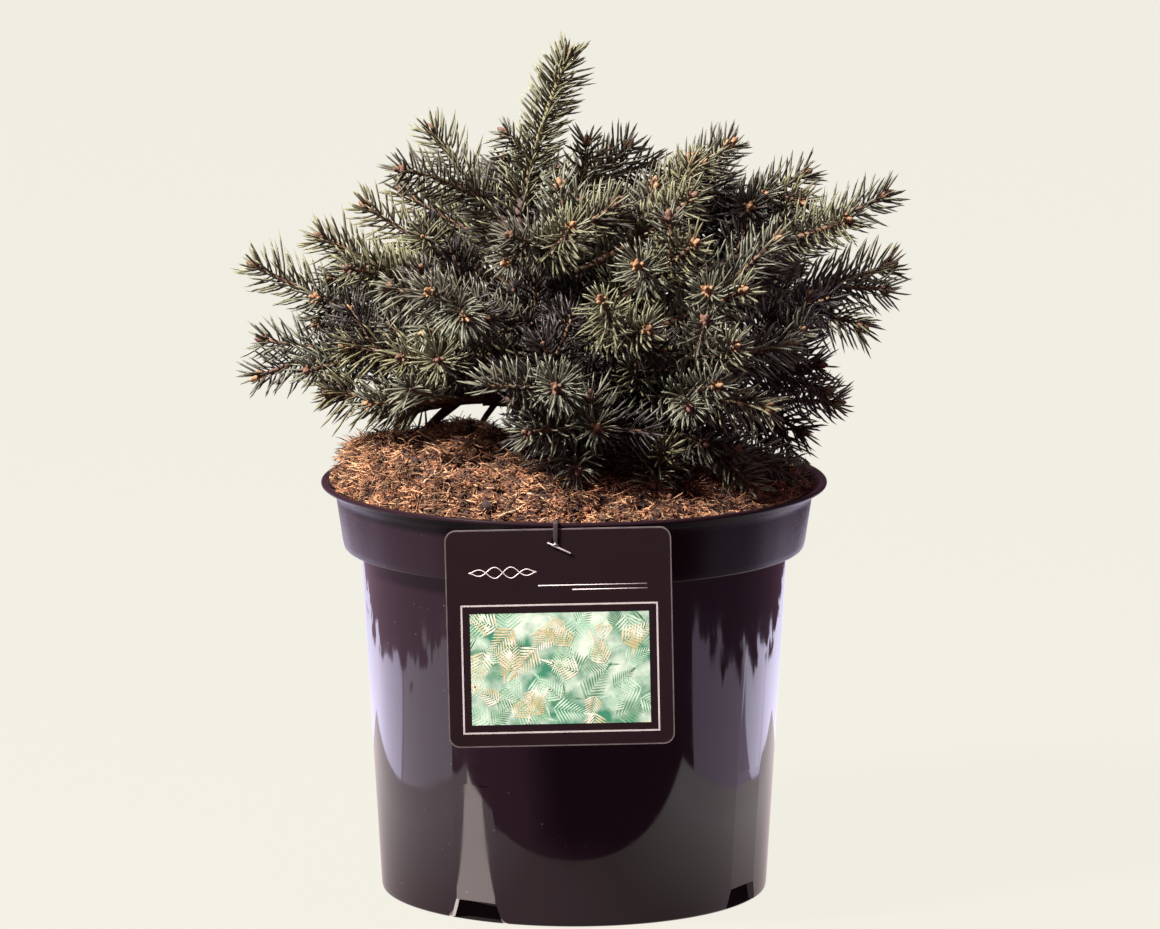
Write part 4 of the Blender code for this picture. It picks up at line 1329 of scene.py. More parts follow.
def turning_frames(points: Line) -> list[Frame]:
    """One frame for each point of a line, carried along without twist.

    Args:
        points: the line.

    Returns:
        For each point its tangent and two directions across it.
    """
    around = zip([points[0]] + points[:-1], points[1:] + [points[-1]])
    tangents = [(after - before).normalized() for before, after in around]
    side = UP.cross(tangents[0])
    if side.length < 0.05:
        side = Vector((1.0, 0.0, 0.0))
    side.normalize()
    found = []
    for before, tangent in zip([tangents[0]] + tangents, tangents):
        side = before.rotation_difference(tangent) @ side
        side = (side - tangent * side.dot(tangent)).normalized()
        found.append((tangent, side, tangent.cross(side)))
    return found


def toward(azimuth: float, rise: float) -> Vector:
    """Unit direction of an azimuth and a rise in degrees."""
    flat = math.cos(math.radians(rise))
    turn = math.radians(azimuth)
    return Vector((flat * math.cos(turn), flat * math.sin(turn), math.sin(math.radians(rise))))


@dataclass(frozen=True)
class Trunk:
    """The short leaning trunk with its root flare."""

    foot: Triple = (2.0 * MM, 4.0 * MM, 200.8 * MM)
    bend: Triple = (-4.0 * MM, 4.0 * MM, 255.0 * MM)
    fork: Triple = (-26.0 * MM, 2.0 * MM, 308.0 * MM)
    foot_radius: float = 9.2 * MM
    fork_radius: float = 3.6 * MM
    flare: float = 5.0 * MM
    flare_height: float = 6.0 * MM

    def line(self) -> Line:
        """The trunk's middle line from the seat to its fork."""
        return bezier(Vector(self.foot), Vector(self.bend), Vector(self.fork))

    def radius(self, height: float) -> float:
        """The trunk's radius at a height, with the flare at its foot."""
        share = (height - self.foot[2]) / (self.fork[2] - self.foot[2])
        radius = self.foot_radius + (self.fork_radius - self.foot_radius) * max(0.0, share) ** 0.8
        return radius + self.flare * math.exp(-(height - self.foot[2]) / self.flare_height)


@dataclass(frozen=True)
class Row:
    """Where a branch's tip stands, seen from the crown's hub, and how it grows.

    Angles are in degrees, reach and sag in millimetres.
    """

    name: str
    azimuth: float
    rise: float
    reach: float
    sag: float
    roll: float
    has_bough: bool = False


ROWS = tuple(Row(*row) for row in (
    ("top_left", 164, 62, 155, 6, 70), ("left_shoulder", 161, 42, 146, 8, 20),
    ("left_upper", -175, 36, 152, 10, 40), ("left_middle", 180, 26, 170, 22, 0, True),
    ("left_low", -174, 15, 155, 6, 30, True), ("left_front_low", -150, 8, 116, 4, 60, True),
    ("left_skirt", 176, -1, 92, -12, 0, True), ("top_right", 7, 59, 152, 12, 30),
    ("top_back", 39, 73, 135, 6, 80), ("right_shoulder", 15, 44, 163, 10, 20),
    ("right_upper", -4, 36, 184, 14, 0, True), ("right_middle", 5, 25, 168, 8, 100, True),
    ("right_front_low", -16, 14, 127, 5, 100, True), ("right_low", 7, 2, 130, -4, 30, True),
    ("right_skirt", -36, -4, 98, -6, 60), ("front_top", -81, 70, 118, 4, 50),
    ("front_high", -89, 56, 124, 20, 90), ("front_right_top", -46, 54, 142, 14, 10),
    ("front_right_high", -56, 43, 142, 8, 65), ("front_right_middle", -48, 32, 142, 8, 0),
    ("front_right", -53, 22, 137, 8, 40, True), ("front_middle", -70, 29, 121, 18, 0),
    ("front_left_high", -129, 34, 132, 8, 110, True), ("front_left_low", -138, 20, 119, 5, 80),
    ("front_low", -94, 16, 123, 6, 95, True), ("front_right_low", -57, 15, 129, 4, 20, True),
    ("front_skirt", -84, 7, 106, -2, 90), ("front_skirt_low", -89, -7, 98, -8, 75),
    ("back_high", 96, 58, 132, 8, 30), ("back_left_high", 128, 42, 142, 8, 60),
    ("back_right_high", 44, 46, 150, 8, 10), ("back_left", 142, 20, 150, 8, 80, True),
    ("back_middle", 92, 28, 146, 8, 40, True), ("back_right", 42, 22, 156, 8, 20, True),
    ("back_low_left", 118, 8, 128, 2, 50, True), ("back_low_right", 68, 8, 130, 2, 70, True),
))

# For each of these branches its side shoots: how far before the stem's end each leaves it
# (millimetres), and where its own end stands from the hub (azimuth, rise, reach).
# The other branches' shoots stand in whorls.
STEERED = {
    "leader": ((64, 180, 77, 133),),
    "top_left": ((54, -171, 56, 139),),
    "left_shoulder": ((58, 172, 52, 110),),
    "left_upper": ((68, -166, 35, 126),),
    "left_middle": ((66, -175, 26, 129),),
    "left_low": ((50, -173, 9, 144), (74, -161, 13, 128)),
    "left_front_low": ((48, -160, 9, 117), (68, -134, 14, 108)),
    "left_skirt": ((44, -162, 5, 76),),
    "front_left_high": ((48, -148, 35, 118), (38, -117, 30, 121), (67, -137, 29, 102)),
    "front_left_low": ((50, -124, 21, 115), (64, -160, 20, 114)),
    "top_back": ((46, 58, 85, 125), (38, 44, 66, 122)),
    "top_right": ((60, -10, 64, 131),),
    "right_shoulder": ((60, 0, 50, 133), (38, 0, 44, 143)),
    "right_upper": ((72, -18, 37, 160),),
    "right_middle": ((50, 0, 23, 152), (76, -3, 19, 136)),
    "right_front_low": ((60, -26, 23, 122), (42, -10, 8, 115)),
    "right_low": ((66, 0, -3, 103),),
    "right_skirt": ((46, -14, -11, 102), (70, -49, 0, 88), (34, -35, -13, 100), (77, -65, -11, 85)),
    "front_high": ((52, -119, 58, 107), (42, -69, 65, 115)),
    "front_right_top": ((52, -40, 67, 119), (36, -27, 64, 135)),
    "front_right_high": ((56, -72, 42, 124), (34, -60, 50, 132)),
    "front_right_middle": ((52, -30, 41, 138), (36, -56, 34, 128)),
    "front_right": ((50, -58, 28, 124), (64, -33, 21, 122)),
    "front_middle": ((52, -82, 37, 112),),
    "front_low": ((52, -110, 16, 115), (72, -100, 31, 88)),
    "front_right_low": ((54, -45, 9, 122), (44, -62, 11, 110)),
    "front_skirt": ((48, -101, 6, 103), (38, -68, 5, 90)),
    "front_skirt_low": (),
    "front_top": ((36, -104, 77, 111),),
}


@dataclass
class Branch:
    """One bough or none, the stem that goes on from it, and that stem's side shoots."""

    name: str
    line: Line
    roll: float
    has_bough: bool
    mass_share: float = 0.62
    mass_length: float = 82.0 * MM
    tip_needles: float = 10.5 * MM
    shoots: list[Line] = field(default_factory=list)

    def __post_init__(self) -> None:
        """Measure the line and find where the mass begins on it."""
        self.total = length_of(self.line)
        self.start = 0.0
        if self.has_bough:
            self.start = self.total - min(self.mass_length, self.mass_share * self.total)

    def axes(self) -> Line:
        """Every line the mass keeps to, closely sampled."""
        begin = self.start + (0.3 * MM if self.has_bough else 0.0)
        found = stretch(self.line, begin, self.total - self.tip_needles, 2.0 * MM)
        for shoot in self.shoots:
            found += stretch(shoot, 0.0, length_of(shoot), 2.0 * MM)
        return found


@dataclass
class Twig:
    """One needled twig of the finished crown."""

    line: Line
    order: int
    bare: float
    root_radius: float
    tip_radius: float
    is_leader: bool = False
    lift: float = 0.0

    def __post_init__(self) -> None:
        """Measure the line."""
        self.length = length_of(self.line)


class Crowd:
    """Points of many lines in cells, to find how near a place is to the lines of others."""

    def __init__(self, cell: float) -> None:
        """Start empty, with cells of a size."""
        self.cell = cell
        self.cells: dict[tuple[int, int, int], list[tuple[Vector, int]]] = {}

    def key(self, point: Vector) -> tuple[int, int, int]:
        """The cell a point is in."""
        return tuple(math.floor(part / self.cell) for part in point)

    def add(self, points: Line, owner: int) -> None:
        """Put a line's points in, under its owner's number."""
        for point in points:
            self.cells.setdefault(self.key(point), []).append((point, owner))

    def room(self, point: Vector, owner: int) -> float:
        """How far a point is from the nearest line of another owner, up to the cell's size.

        Args:
            point: the place.
            owner: whose lines don't count.

        Returns:
            The distance.
        """
        best = self.cell
        for key in product(*[(part - 1, part, part + 1) for part in self.key(point)]):
            for other, number in self.cells.get(key, ()):
                if number != owner:
                    best = min(best, (other - point).length)
        return best


@dataclass
class Obstacles:
    """What a side shoot keeps off: the other masses' lines, and the limbs' with their radii."""

    others: KDTree
    limbs: KDTree
    radii: list[float]

    def clear(self, point: Vector, apart: float, off_limbs: float) -> bool:
        """Whether a place is far enough from the masses and from the limbs' bark."""
        _, index, distance = self.limbs.find(point)
        return self.others.find(point)[2] >= apart and distance >= self.radii[index] + off_limbs


@dataclass
class Skeleton:
    """The lines of all branches, side shoots and twigs."""

    trunk: Trunk
    soil: Soil
    pot: Pot
    hub: Vector = field(default_factory=lambda: Vector((0.0, 0.0, 216.0 * MM)))
    lowest_fork: float = 211.5 * MM
    highest_fork: float = 298.0 * MM
    leader_tip: Vector = field(default_factory=lambda: Vector((1.3 * MM, 0.0, 391.0 * MM)))
    leader_bend: Vector = field(default_factory=lambda: Vector((-17.0 * MM, 0.0, 350.0 * MM)))
    bough_radius: float = 3.1 * MM
    whorls: tuple[float, float] = (43.0 * MM, 76.0 * MM)
    side_length: float = 43.0 * MM
    side_angle: float = math.radians(50.0)
    side_clear: float = 8.5 * MM
    stem_clear: float = 7.0 * MM
    inner_share: float = 0.84
    low_stems: tuple[tuple[Triple, Triple, float], ...] = (
        ((-76.0, 2.0, 201.0), (-46.0, 4.0, 229.0), 2.4),
        ((-46.0, 3.0, 207.0), (-30.0, 8.0, 228.0), 1.7),
    )
    gap_across: tuple[float, float] = (-76.0 * MM, -34.0 * MM)
    gap_height: tuple[float, float] = (204.0 * MM, 224.0 * MM)
    shifts: tuple[float, ...] = (0.0, 4.0, -4.0, 8.0, -8.0, 12.0, -12.0, 17.0, -17.0, 22.0, -22.0)
    branches: list[Branch] = field(default_factory=list)
    twigs: list[Twig] = field(default_factory=list)

    def crown_reach(self, direction: Vector) -> float:
        """How far the crown goes in a direction: the tips near it, weighed by nearness.

        Args:
            direction: the way from the hub.

        Returns:
            The reach.
        """
        total = 0.0
        weights = 0.0
        for row in ROWS:
            angle = direction.angle(toward(row.azimuth, row.rise))
            weight = math.exp(-((angle / math.radians(13.0)) ** 2)) + 0.000001
            total += weight * row.reach * MM
            weights += weight
        return total / weights

    def outside_trunk(self, line: Line) -> Line:
        """The part of a line that stands out of the trunk, closely sampled."""
        axis = self.trunk.line()
        found = []
        for point in stretch(line, 0.0, length_of(line), 2.5 * MM):
            near = min(axis, key=lambda other: (other - point).length)
            if (near - point).length > self.trunk.radius(near.z) - 0.5 * MM:
                found.append(point)
        return found

    def plan(self) -> None:
        """The stem lines of all branches, from the trunk to each row's tip.

        A branch leaves the trunk at the height its rise asks for, or as little above or
        below that as lets it pass its neighbours.
        """
        axis = self.trunk.line()
        lean = (axis[-1] - axis[-2]).normalized()
        leader = bezier(Vector(self.trunk.fork) - lean * 3.0 * MM, self.leader_bend, self.leader_tip)
        self.branches.append(Branch("leader", leader, math.radians(60.0), False))
        taken = self.outside_trunk(leader)
        for row in ROWS:
            share = min(1.0, (row.rise + 8.0) / 72.0)
            wanted = self.lowest_fork + (self.highest_fork - self.lowest_fork) * max(0.0, share)
            tip = self.hub + toward(row.azimuth, row.rise) * row.reach * MM
            best = None
            for shift in self.shifts:
                height = min(max(wanted + shift * MM, self.lowest_fork), self.highest_fork)
                root = min(axis, key=lambda point: abs(point.z - height))
                line = bezier(root, root.lerp(tip, 0.5) - UP * row.sag * MM, tip)
                mine = self.outside_trunk(line)
                room = min((point - other).length for other in taken for point in mine)
                if best is None or room > best[0]:
                    best = (room, line, mine)
                if room > self.stem_clear:
                    break
            self.branches.append(Branch(row.name, best[1], math.radians(row.roll), row.has_bough))
            taken += best[2]

    def clear_of_pot(self, point: Vector, margin: float) -> bool:
        """Whether a place stands clear of the mix, the pot's lip and the card."""
        radius = math.hypot(point.x, point.y)
        if radius < self.soil.edge_radius:
            return point.z > self.soil.top(point.x, point.y) + margin
        if radius < self.pot.lip_radius + 1.5 * MM:
            return point.z > self.pot.lip_top + margin
        return point.z > self.pot.lip_top + 2.0 * MM

    def in_gap(self, point: Vector, margin: float) -> bool:
        """Whether a place is in the open gap under the left boughs, or within a margin of it."""
        height = point.z + self.soil.back_fall * point.y
        if not self.gap_across[0] - margin < point.x < self.gap_across[1] + margin:
            return False
        return self.gap_height[0] - margin < height < self.gap_height[1] + margin

    def may_rest(self, point: Vector) -> bool:
        """Whether a needle may end at a place: clear of the lip, or just into the mix."""
        if self.in_gap(point, 0.0):
            return False
        if math.hypot(point.x, point.y) < self.soil.edge_radius - 2.0 * MM:
            return self.clear_of_pot(point, -3.0 * MM)
        return self.clear_of_pot(point, 0.4 * MM)

    def shoot(self, line: Line, distance: float, angle: float, roll: float, length: float) -> Line:
        """A side shoot's line: off the stem at an angle, its end turning up a little.

        Args:
            line: the stem's line.
            distance: how far along it the shoot stands.
            angle: how far the shoot opens from the stem.
            roll: which way round the stem it goes, from the upright.
            length: the shoot's length.

        Returns:
            The shoot's points.
        """
        base = point_at(line, distance)
        ahead = point_at(line, distance + 1.0 * MM)
        tangent = (ahead - base).normalized()
        upright = UP - tangent * UP.dot(tangent)
        if upright.length < 0.1:
            upright = Vector((0.0, -1.0, 0.0)) - tangent * -tangent.y
        upright.normalize()
        outward = Quaternion(tangent, roll) @ upright
        first = tangent * math.cos(angle) + outward * math.sin(angle)
        last = (first + UP * 0.22 + tangent * 0.18).normalized()
        middle = base + first * length * 0.5
        return bezier(base, middle, middle + last * length * 0.5, 12)

    def steered(self, branch: Branch, back: float, end: Vector) -> Line:
        """A side shoot's line to a given end, leaving the stem half along it.

        Args:
            branch: whose shoot it is.
            back: how far before the stem's end it leaves.
            end: where it ends.

        Returns:
            The shoot's points.
        """
        base = point_at(branch.line, branch.total - back)
        ahead = point_at(branch.line, branch.total - back + 1.0 * MM)
        span = (end - base).length
        way = ((ahead - base).normalized() + (end - base).normalized()).normalized()
        return bezier(base, base + way * span * 0.5, end, 12)

    def tree_of(self, points: Line) -> KDTree:
        """A search tree of points."""
        tree = KDTree(len(points))
        for index, point in enumerate(points):
            tree.insert(point, index)
        tree.balance()
        return tree

    def wood(self) -> list[tuple[Vector, float]]:
        """The trunk's and boughs' lines with their radii, closely sampled."""
        line = self.trunk.line()
        line = stretch(line, 0.0, length_of(line), 1.5 * MM)
        found = [(point, self.trunk.radius(point.z)) for point in line]
        for branch in self.branches:
            if branch.has_bough:
                for point in stretch(branch.line, 0.0, branch.start, 1.5 * MM):
                    found.append((point, self.bough_radius))
        return found

    def grow_sides(self) -> None:
        """The steered side shoots, and then the whorls of the other branches.

        A shoot of a whorl that would leave its mass's space is turned or skipped.
        """
        for branch in self.branches:
            for back, azimuth, rise, reach in STEERED.get(branch.name, ()):
                end = self.hub + toward(azimuth, rise) * reach * MM
                branch.shoots.append(self.steered(branch, back * MM, end))
        dice = Random(7)
        places, radii = zip(*self.wood())
        limbs = self.tree_of(places)
        for back, turns, length, angle in (
            (self.whorls[0], (0.0, 120.0, 240.0), self.side_length, self.side_angle),
            (self.whorls[1], (75.0, 285.0), self.side_length * 0.95, self.side_angle * 1.15),
        ):
            for branch in self.branches:
                node = branch.total - back
                if branch.name in STEERED or node < max(branch.start + 3.0 * MM, 28.0 * MM):
                    continue
                others = [point for other in self.branches if other is not branch for point in other.axes()]
                obstacles = Obstacles(self.tree_of(others), limbs, radii)
                for turn in turns:
                    grow = length * dice.uniform(0.9, 1.08)
                    open_out = angle * dice.uniform(0.88, 1.1)
                    self.place_side(branch, obstacles, node, open_out, turn, grow)

    def place_side(
        self, branch: Branch, obstacles: Obstacles, node: float, angle: float, turn: float, length: float
    ) -> None:
        """Try a side shoot as asked, then rolled and shortened; keep the first that is free.

        Args:
            branch: whose shoot it is.
            obstacles: what it keeps off.
            node: how far along the stem it stands.
            angle: how far it opens.
            turn: which way round the stem it goes, in degrees.
            length: its length.
        """
        for share, nudge in product((1.0, 0.85, 0.7), (0.0, -18.0, 18.0, -36.0, 36.0)):
            roll = branch.roll + math.radians(turn + nudge)
            shoot = self.shoot(branch.line, node, angle, roll, length * share)
            if self.side_is_free(branch, shoot, obstacles):
                branch.shoots.append(shoot)
                return

    def side_is_free(self, branch: Branch, shoot: Line, obstacles: Obstacles) -> bool:
        """Whether a side shoot keeps off other masses, limbs, its own neighbours and the pot.

        Args:
            branch: whose shoot it is.
            shoot: its line.
            obstacles: what it keeps off.

        Returns:
            Whether it is free.
        """
        tip = shoot[-1] + (shoot[-1] - shoot[-2]).normalized() * branch.tip_needles
        out = tip - self.hub
        if out.length > self.crown_reach(out.normalized()) + 2.0 * MM:
            return False
        near = [point_at(branch.line, branch.total - branch.tip_needles)]
        for sibling in branch.shoots:
            near += stretch(sibling, 8.0 * MM, length_of(sibling), 4.0 * MM)
        for point in stretch(shoot, 8.0 * MM, length_of(shoot), 3.0 * MM):
            if not obstacles.clear(point, self.side_clear, 4.0 * MM):
                return False
            if not self.clear_of_pot(point, 4.5 * MM):
                return False
            if min((point - other).length for other in near) < 7.0 * MM:
                return False
        return True

    def gather_twigs(self) -> None:
        """The trunk's top, the stems and the side shoots, as twigs that carry needles."""
        line = self.trunk.line()
        top = stretch(line, length_of(line) * 0.48, length_of(line), 4.0 * MM)
        self.twigs.append(Twig(top, 0, 0.0, 3.2 * MM, 2.6 * MM))
        for branch in self.branches:
            is_leader = branch.name == "leader"
            bare = max(2.0 * MM if is_leader else 12.0 * MM, branch.total - 126.0 * MM)
            line = stretch(branch.line, 0.0, branch.total - branch.tip_needles, 4.0 * MM)
            if branch.name == "left_skirt":
                bare = branch.total - 46.0 * MM
            self.twigs.append(Twig(line, 0, bare, 1.9 * MM, 1.0 * MM, is_leader))
            for shoot in branch.shoots:
                line = stretch(shoot, 0.0, length_of(shoot), 4.0 * MM)
                self.twigs.append(Twig(line, 1, 3.0 * MM, 1.35 * MM, 0.95 * MM))

    def grow_twigs(self) -> None:
        """Finer twigs along the stems and side shoots, wherever there is room for one."""
        dice = Random(11)
        crowd = Crowd(9.0 * MM)
        for number, twig in enumerate(self.twigs):
            crowd.add(stretch(twig.line, 0.0, twig.length, 3.0 * MM), number)
        for number, twig in enumerate(list(self.twigs)):
            node = twig.length - (13.0 * MM if twig.order else 15.0 * MM)
            turn = dice.uniform(0.0, 360.0)
            while node > max(twig.bare * 0.7, 7.0 * MM):
                for spread in (0.0, 130.0, 235.0):
                    self.place_twig(twig, number, node, turn + spread, crowd, dice)
                node -= dice.uniform(12.0, 17.0) * MM
                turn += dice.uniform(50.0, 80.0)

    def place_twig(
        self, twig: Twig, owner: int, node: float, turn: float, crowd: Crowd, dice: Random
    ) -> None:
        """Put one finer twig on another where it is free.

        Args:
            twig: what it grows on.
            owner: that twig's number.
            node: how far along it stands.
            turn: which way round it goes, in degrees.
            crowd: the points of every twig so far.
            dice: the random source.
        """
        length = dice.uniform(15.0, 25.0) * MM
        angle = math.radians(dice.uniform(42.0, 58.0))
        for share, nudge in product((1.0, 0.75), (0.0, 25.0, -25.0)):
            line = self.shoot(twig.line, node, angle, math.radians(turn + nudge), length * share)
            if self.twig_is_free(line, owner, crowd):
                crowd.add(stretch(line, 0.0, length * share, 3.0 * MM), len(self.twigs))
                self.twigs.append(Twig(line, 2, 2.0 * MM, 1.0 * MM, 0.8 * MM))
                return

    def twig_is_free(self, line: Line, owner: int, crowd: Crowd) -> bool:
        """Whether a finer twig has room, inside the crown and off the mix and the lip."""
        tip = line[-1] + (line[-1] - line[-2]).normalized() * 9.0 * MM
        out = tip - self.hub
        if out.length > self.crown_reach(out.normalized()) * self.inner_share:
            return False
        for point in stretch(line, 6.0 * MM, length_of(line), 3.0 * MM):
            if crowd.room(point, owner) < 8.2 * MM or not self.clear_of_pot(point, 3.5 * MM):
                return False
            if self.in_gap(point, 6.0 * MM):
                return False
        own = stretch(line, 9.0 * MM, length_of(line), 4.0 * MM)
        return min(crowd.room(point, -1) for point in own) > 6.4 * MM

    def build(self) -> None:
        """Grow everything in order."""
        self.plan()
        self.grow_sides()
        self.gather_twigs()
        self.grow_twigs()
        LOG.info("%d twigs", len(self.twigs))


@dataclass
class Needles:
    """The needles of all twigs, joined by tint."""

    skeleton: Skeleton
    spacing: float = 0.54 * MM
    leader_spacing: float = 0.27 * MM
    length: float = 15.8 * MM
    radius: float = 0.60 * MM
    lean: float = math.radians(66.0)
    tip_lean: float = math.radians(50.0)
    leader_lean: float = math.radians(34.0)

    def tint_of(self, twig: Twig, dice: Random) -> Tint:
        """A twig's tint: paler ones near the crown's outside, and inside mostly the darkest tint, which is
        painted shade.

        Args:
            twig: the twig.
            dice: the random source.

        Returns:
            Its tint.
        """
        out = twig.line[-1] - self.skeleton.hub
        share = out.length / self.skeleton.crown_reach(out.normalized())
        if twig.is_leader:
            return Tint.SAGE
        if share > (0.76 if twig.order < 2 else 0.86):
            return dice.choices(list(Tint), (5, 5, 4, 3, 0))[0]
        # inner twigs mostly get the darkest tint, which is painted shade for the crown's inside
        return dice.choices(list(Tint), (0, 1, 3, 1, 10))[0]

    def spray(self, twig: Twig, dice: Random) -> list[tuple]:
        """The needles of one twig.

        Args:
            twig: the twig.
            dice: the random source.

        Returns:
            For each needle its four points, its radius and the way across it.
        """
        line = stretch(twig.line, 0.0, twig.length, 2.0 * MM)
        frames = turning_frames(line)
        step = twig.length / (len(line) - 1)
        found = []
        turn = dice.uniform(0.0, math.pi)
        place = twig.bare
        while place < twig.length:
            index = min(len(line) - 1, round(place / step))
            base = point_at(line, place)
            old = place < twig.length - 70.0 * MM
            near_tip = min(1.0, (twig.length - place) / (11.0 * MM))
            found.append(self.needle(base, frames[index], turn, near_tip, twig, dice))
            turn += GOLDEN_TURN + dice.uniform(-0.15, 0.15)
            spacing = self.leader_spacing if twig.is_leader else self.spacing
            place += spacing * (1.6 if old else 1.0) * dice.uniform(0.8, 1.2)
        for number in range(7):
            angle = number * 2.0 * math.pi / 7.0 + turn
            found.append(self.needle(line[-1], frames[-1], angle, dice.uniform(-0.25, 0.35), twig, dice))
        return [needle for needle in found if self.skeleton.may_rest(needle[0][-1])]

    def needle(
        self, base: Vector, across: Frame, turn: float, near_tip: float, twig: Twig, dice: Random
    ) -> tuple[Line, float, Vector]:
        """One curved needle.

        Args:
            base: where it stands on the twig.
            across: the twig's frame there.
            turn: which way round the twig it goes.
            near_tip: 1 along the twig, down to 0 and less at its very tip.
            twig: the twig.
            dice: the random source.

        Returns:
            Its four points, its radius and the way across it.
        """
        tangent, side, over = across
        outward = side * math.cos(turn) + over * math.sin(turn)
        tip_lean = self.leader_lean if twig.is_leader else self.tip_lean
        lean = tip_lean + (self.lean - tip_lean) * max(-0.6, near_tip)
        lean += dice.uniform(-0.14, 0.14)
        heading = tangent * math.cos(lean) + outward * math.sin(lean)
        length = self.length * dice.uniform(0.86, 1.1) * (0.66 + 0.34 * max(0.0, near_tip))
        forward = 0.26 if twig.is_leader else 0.42
        stray = Vector([dice.gauss(0.0, 0.13) for _ in range(3)])
        ahead = tangent * forward + UP * twig.lift + stray
        root = base + outward * twig.tip_radius * 0.6
        points = []
        for share in (0.0, 0.36, 0.80, 1.0):
            points.append(root + (heading * share + ahead * 0.62 * share * share) * length * 0.92)
        return points, self.radius * dice.uniform(0.85, 1.12), heading.cross(tangent)

    def build(self) -> None:
        """Make one piece for each tint."""
        dice = Random(23)
        sprays: dict[Tint, list[tuple]] = {tint: [] for tint in Tint}
        for twig in self.skeleton.twigs:
            twig.lift = dice.uniform(-0.42, 0.30) if twig.order else dice.uniform(-0.10, 0.30)
            sprays[self.tint_of(twig, dice)] += self.spray(twig, dice)
        for tint, needles in sprays.items():
            lines, widths, ways = zip(*needles)
            radii = np.array(widths)[:, None] * np.array((0.62, 1.0, 0.88))
            places = np.array([[tuple(point) for point in line] for line in lines])
            across = np.array([tuple(way) for way in ways])
            item = strands("needles_" + tint.name.lower(), places, radii, 3, across)
            finish(item, NeedleFinish(tint))
            LOG.info("%d needles", len(needles))


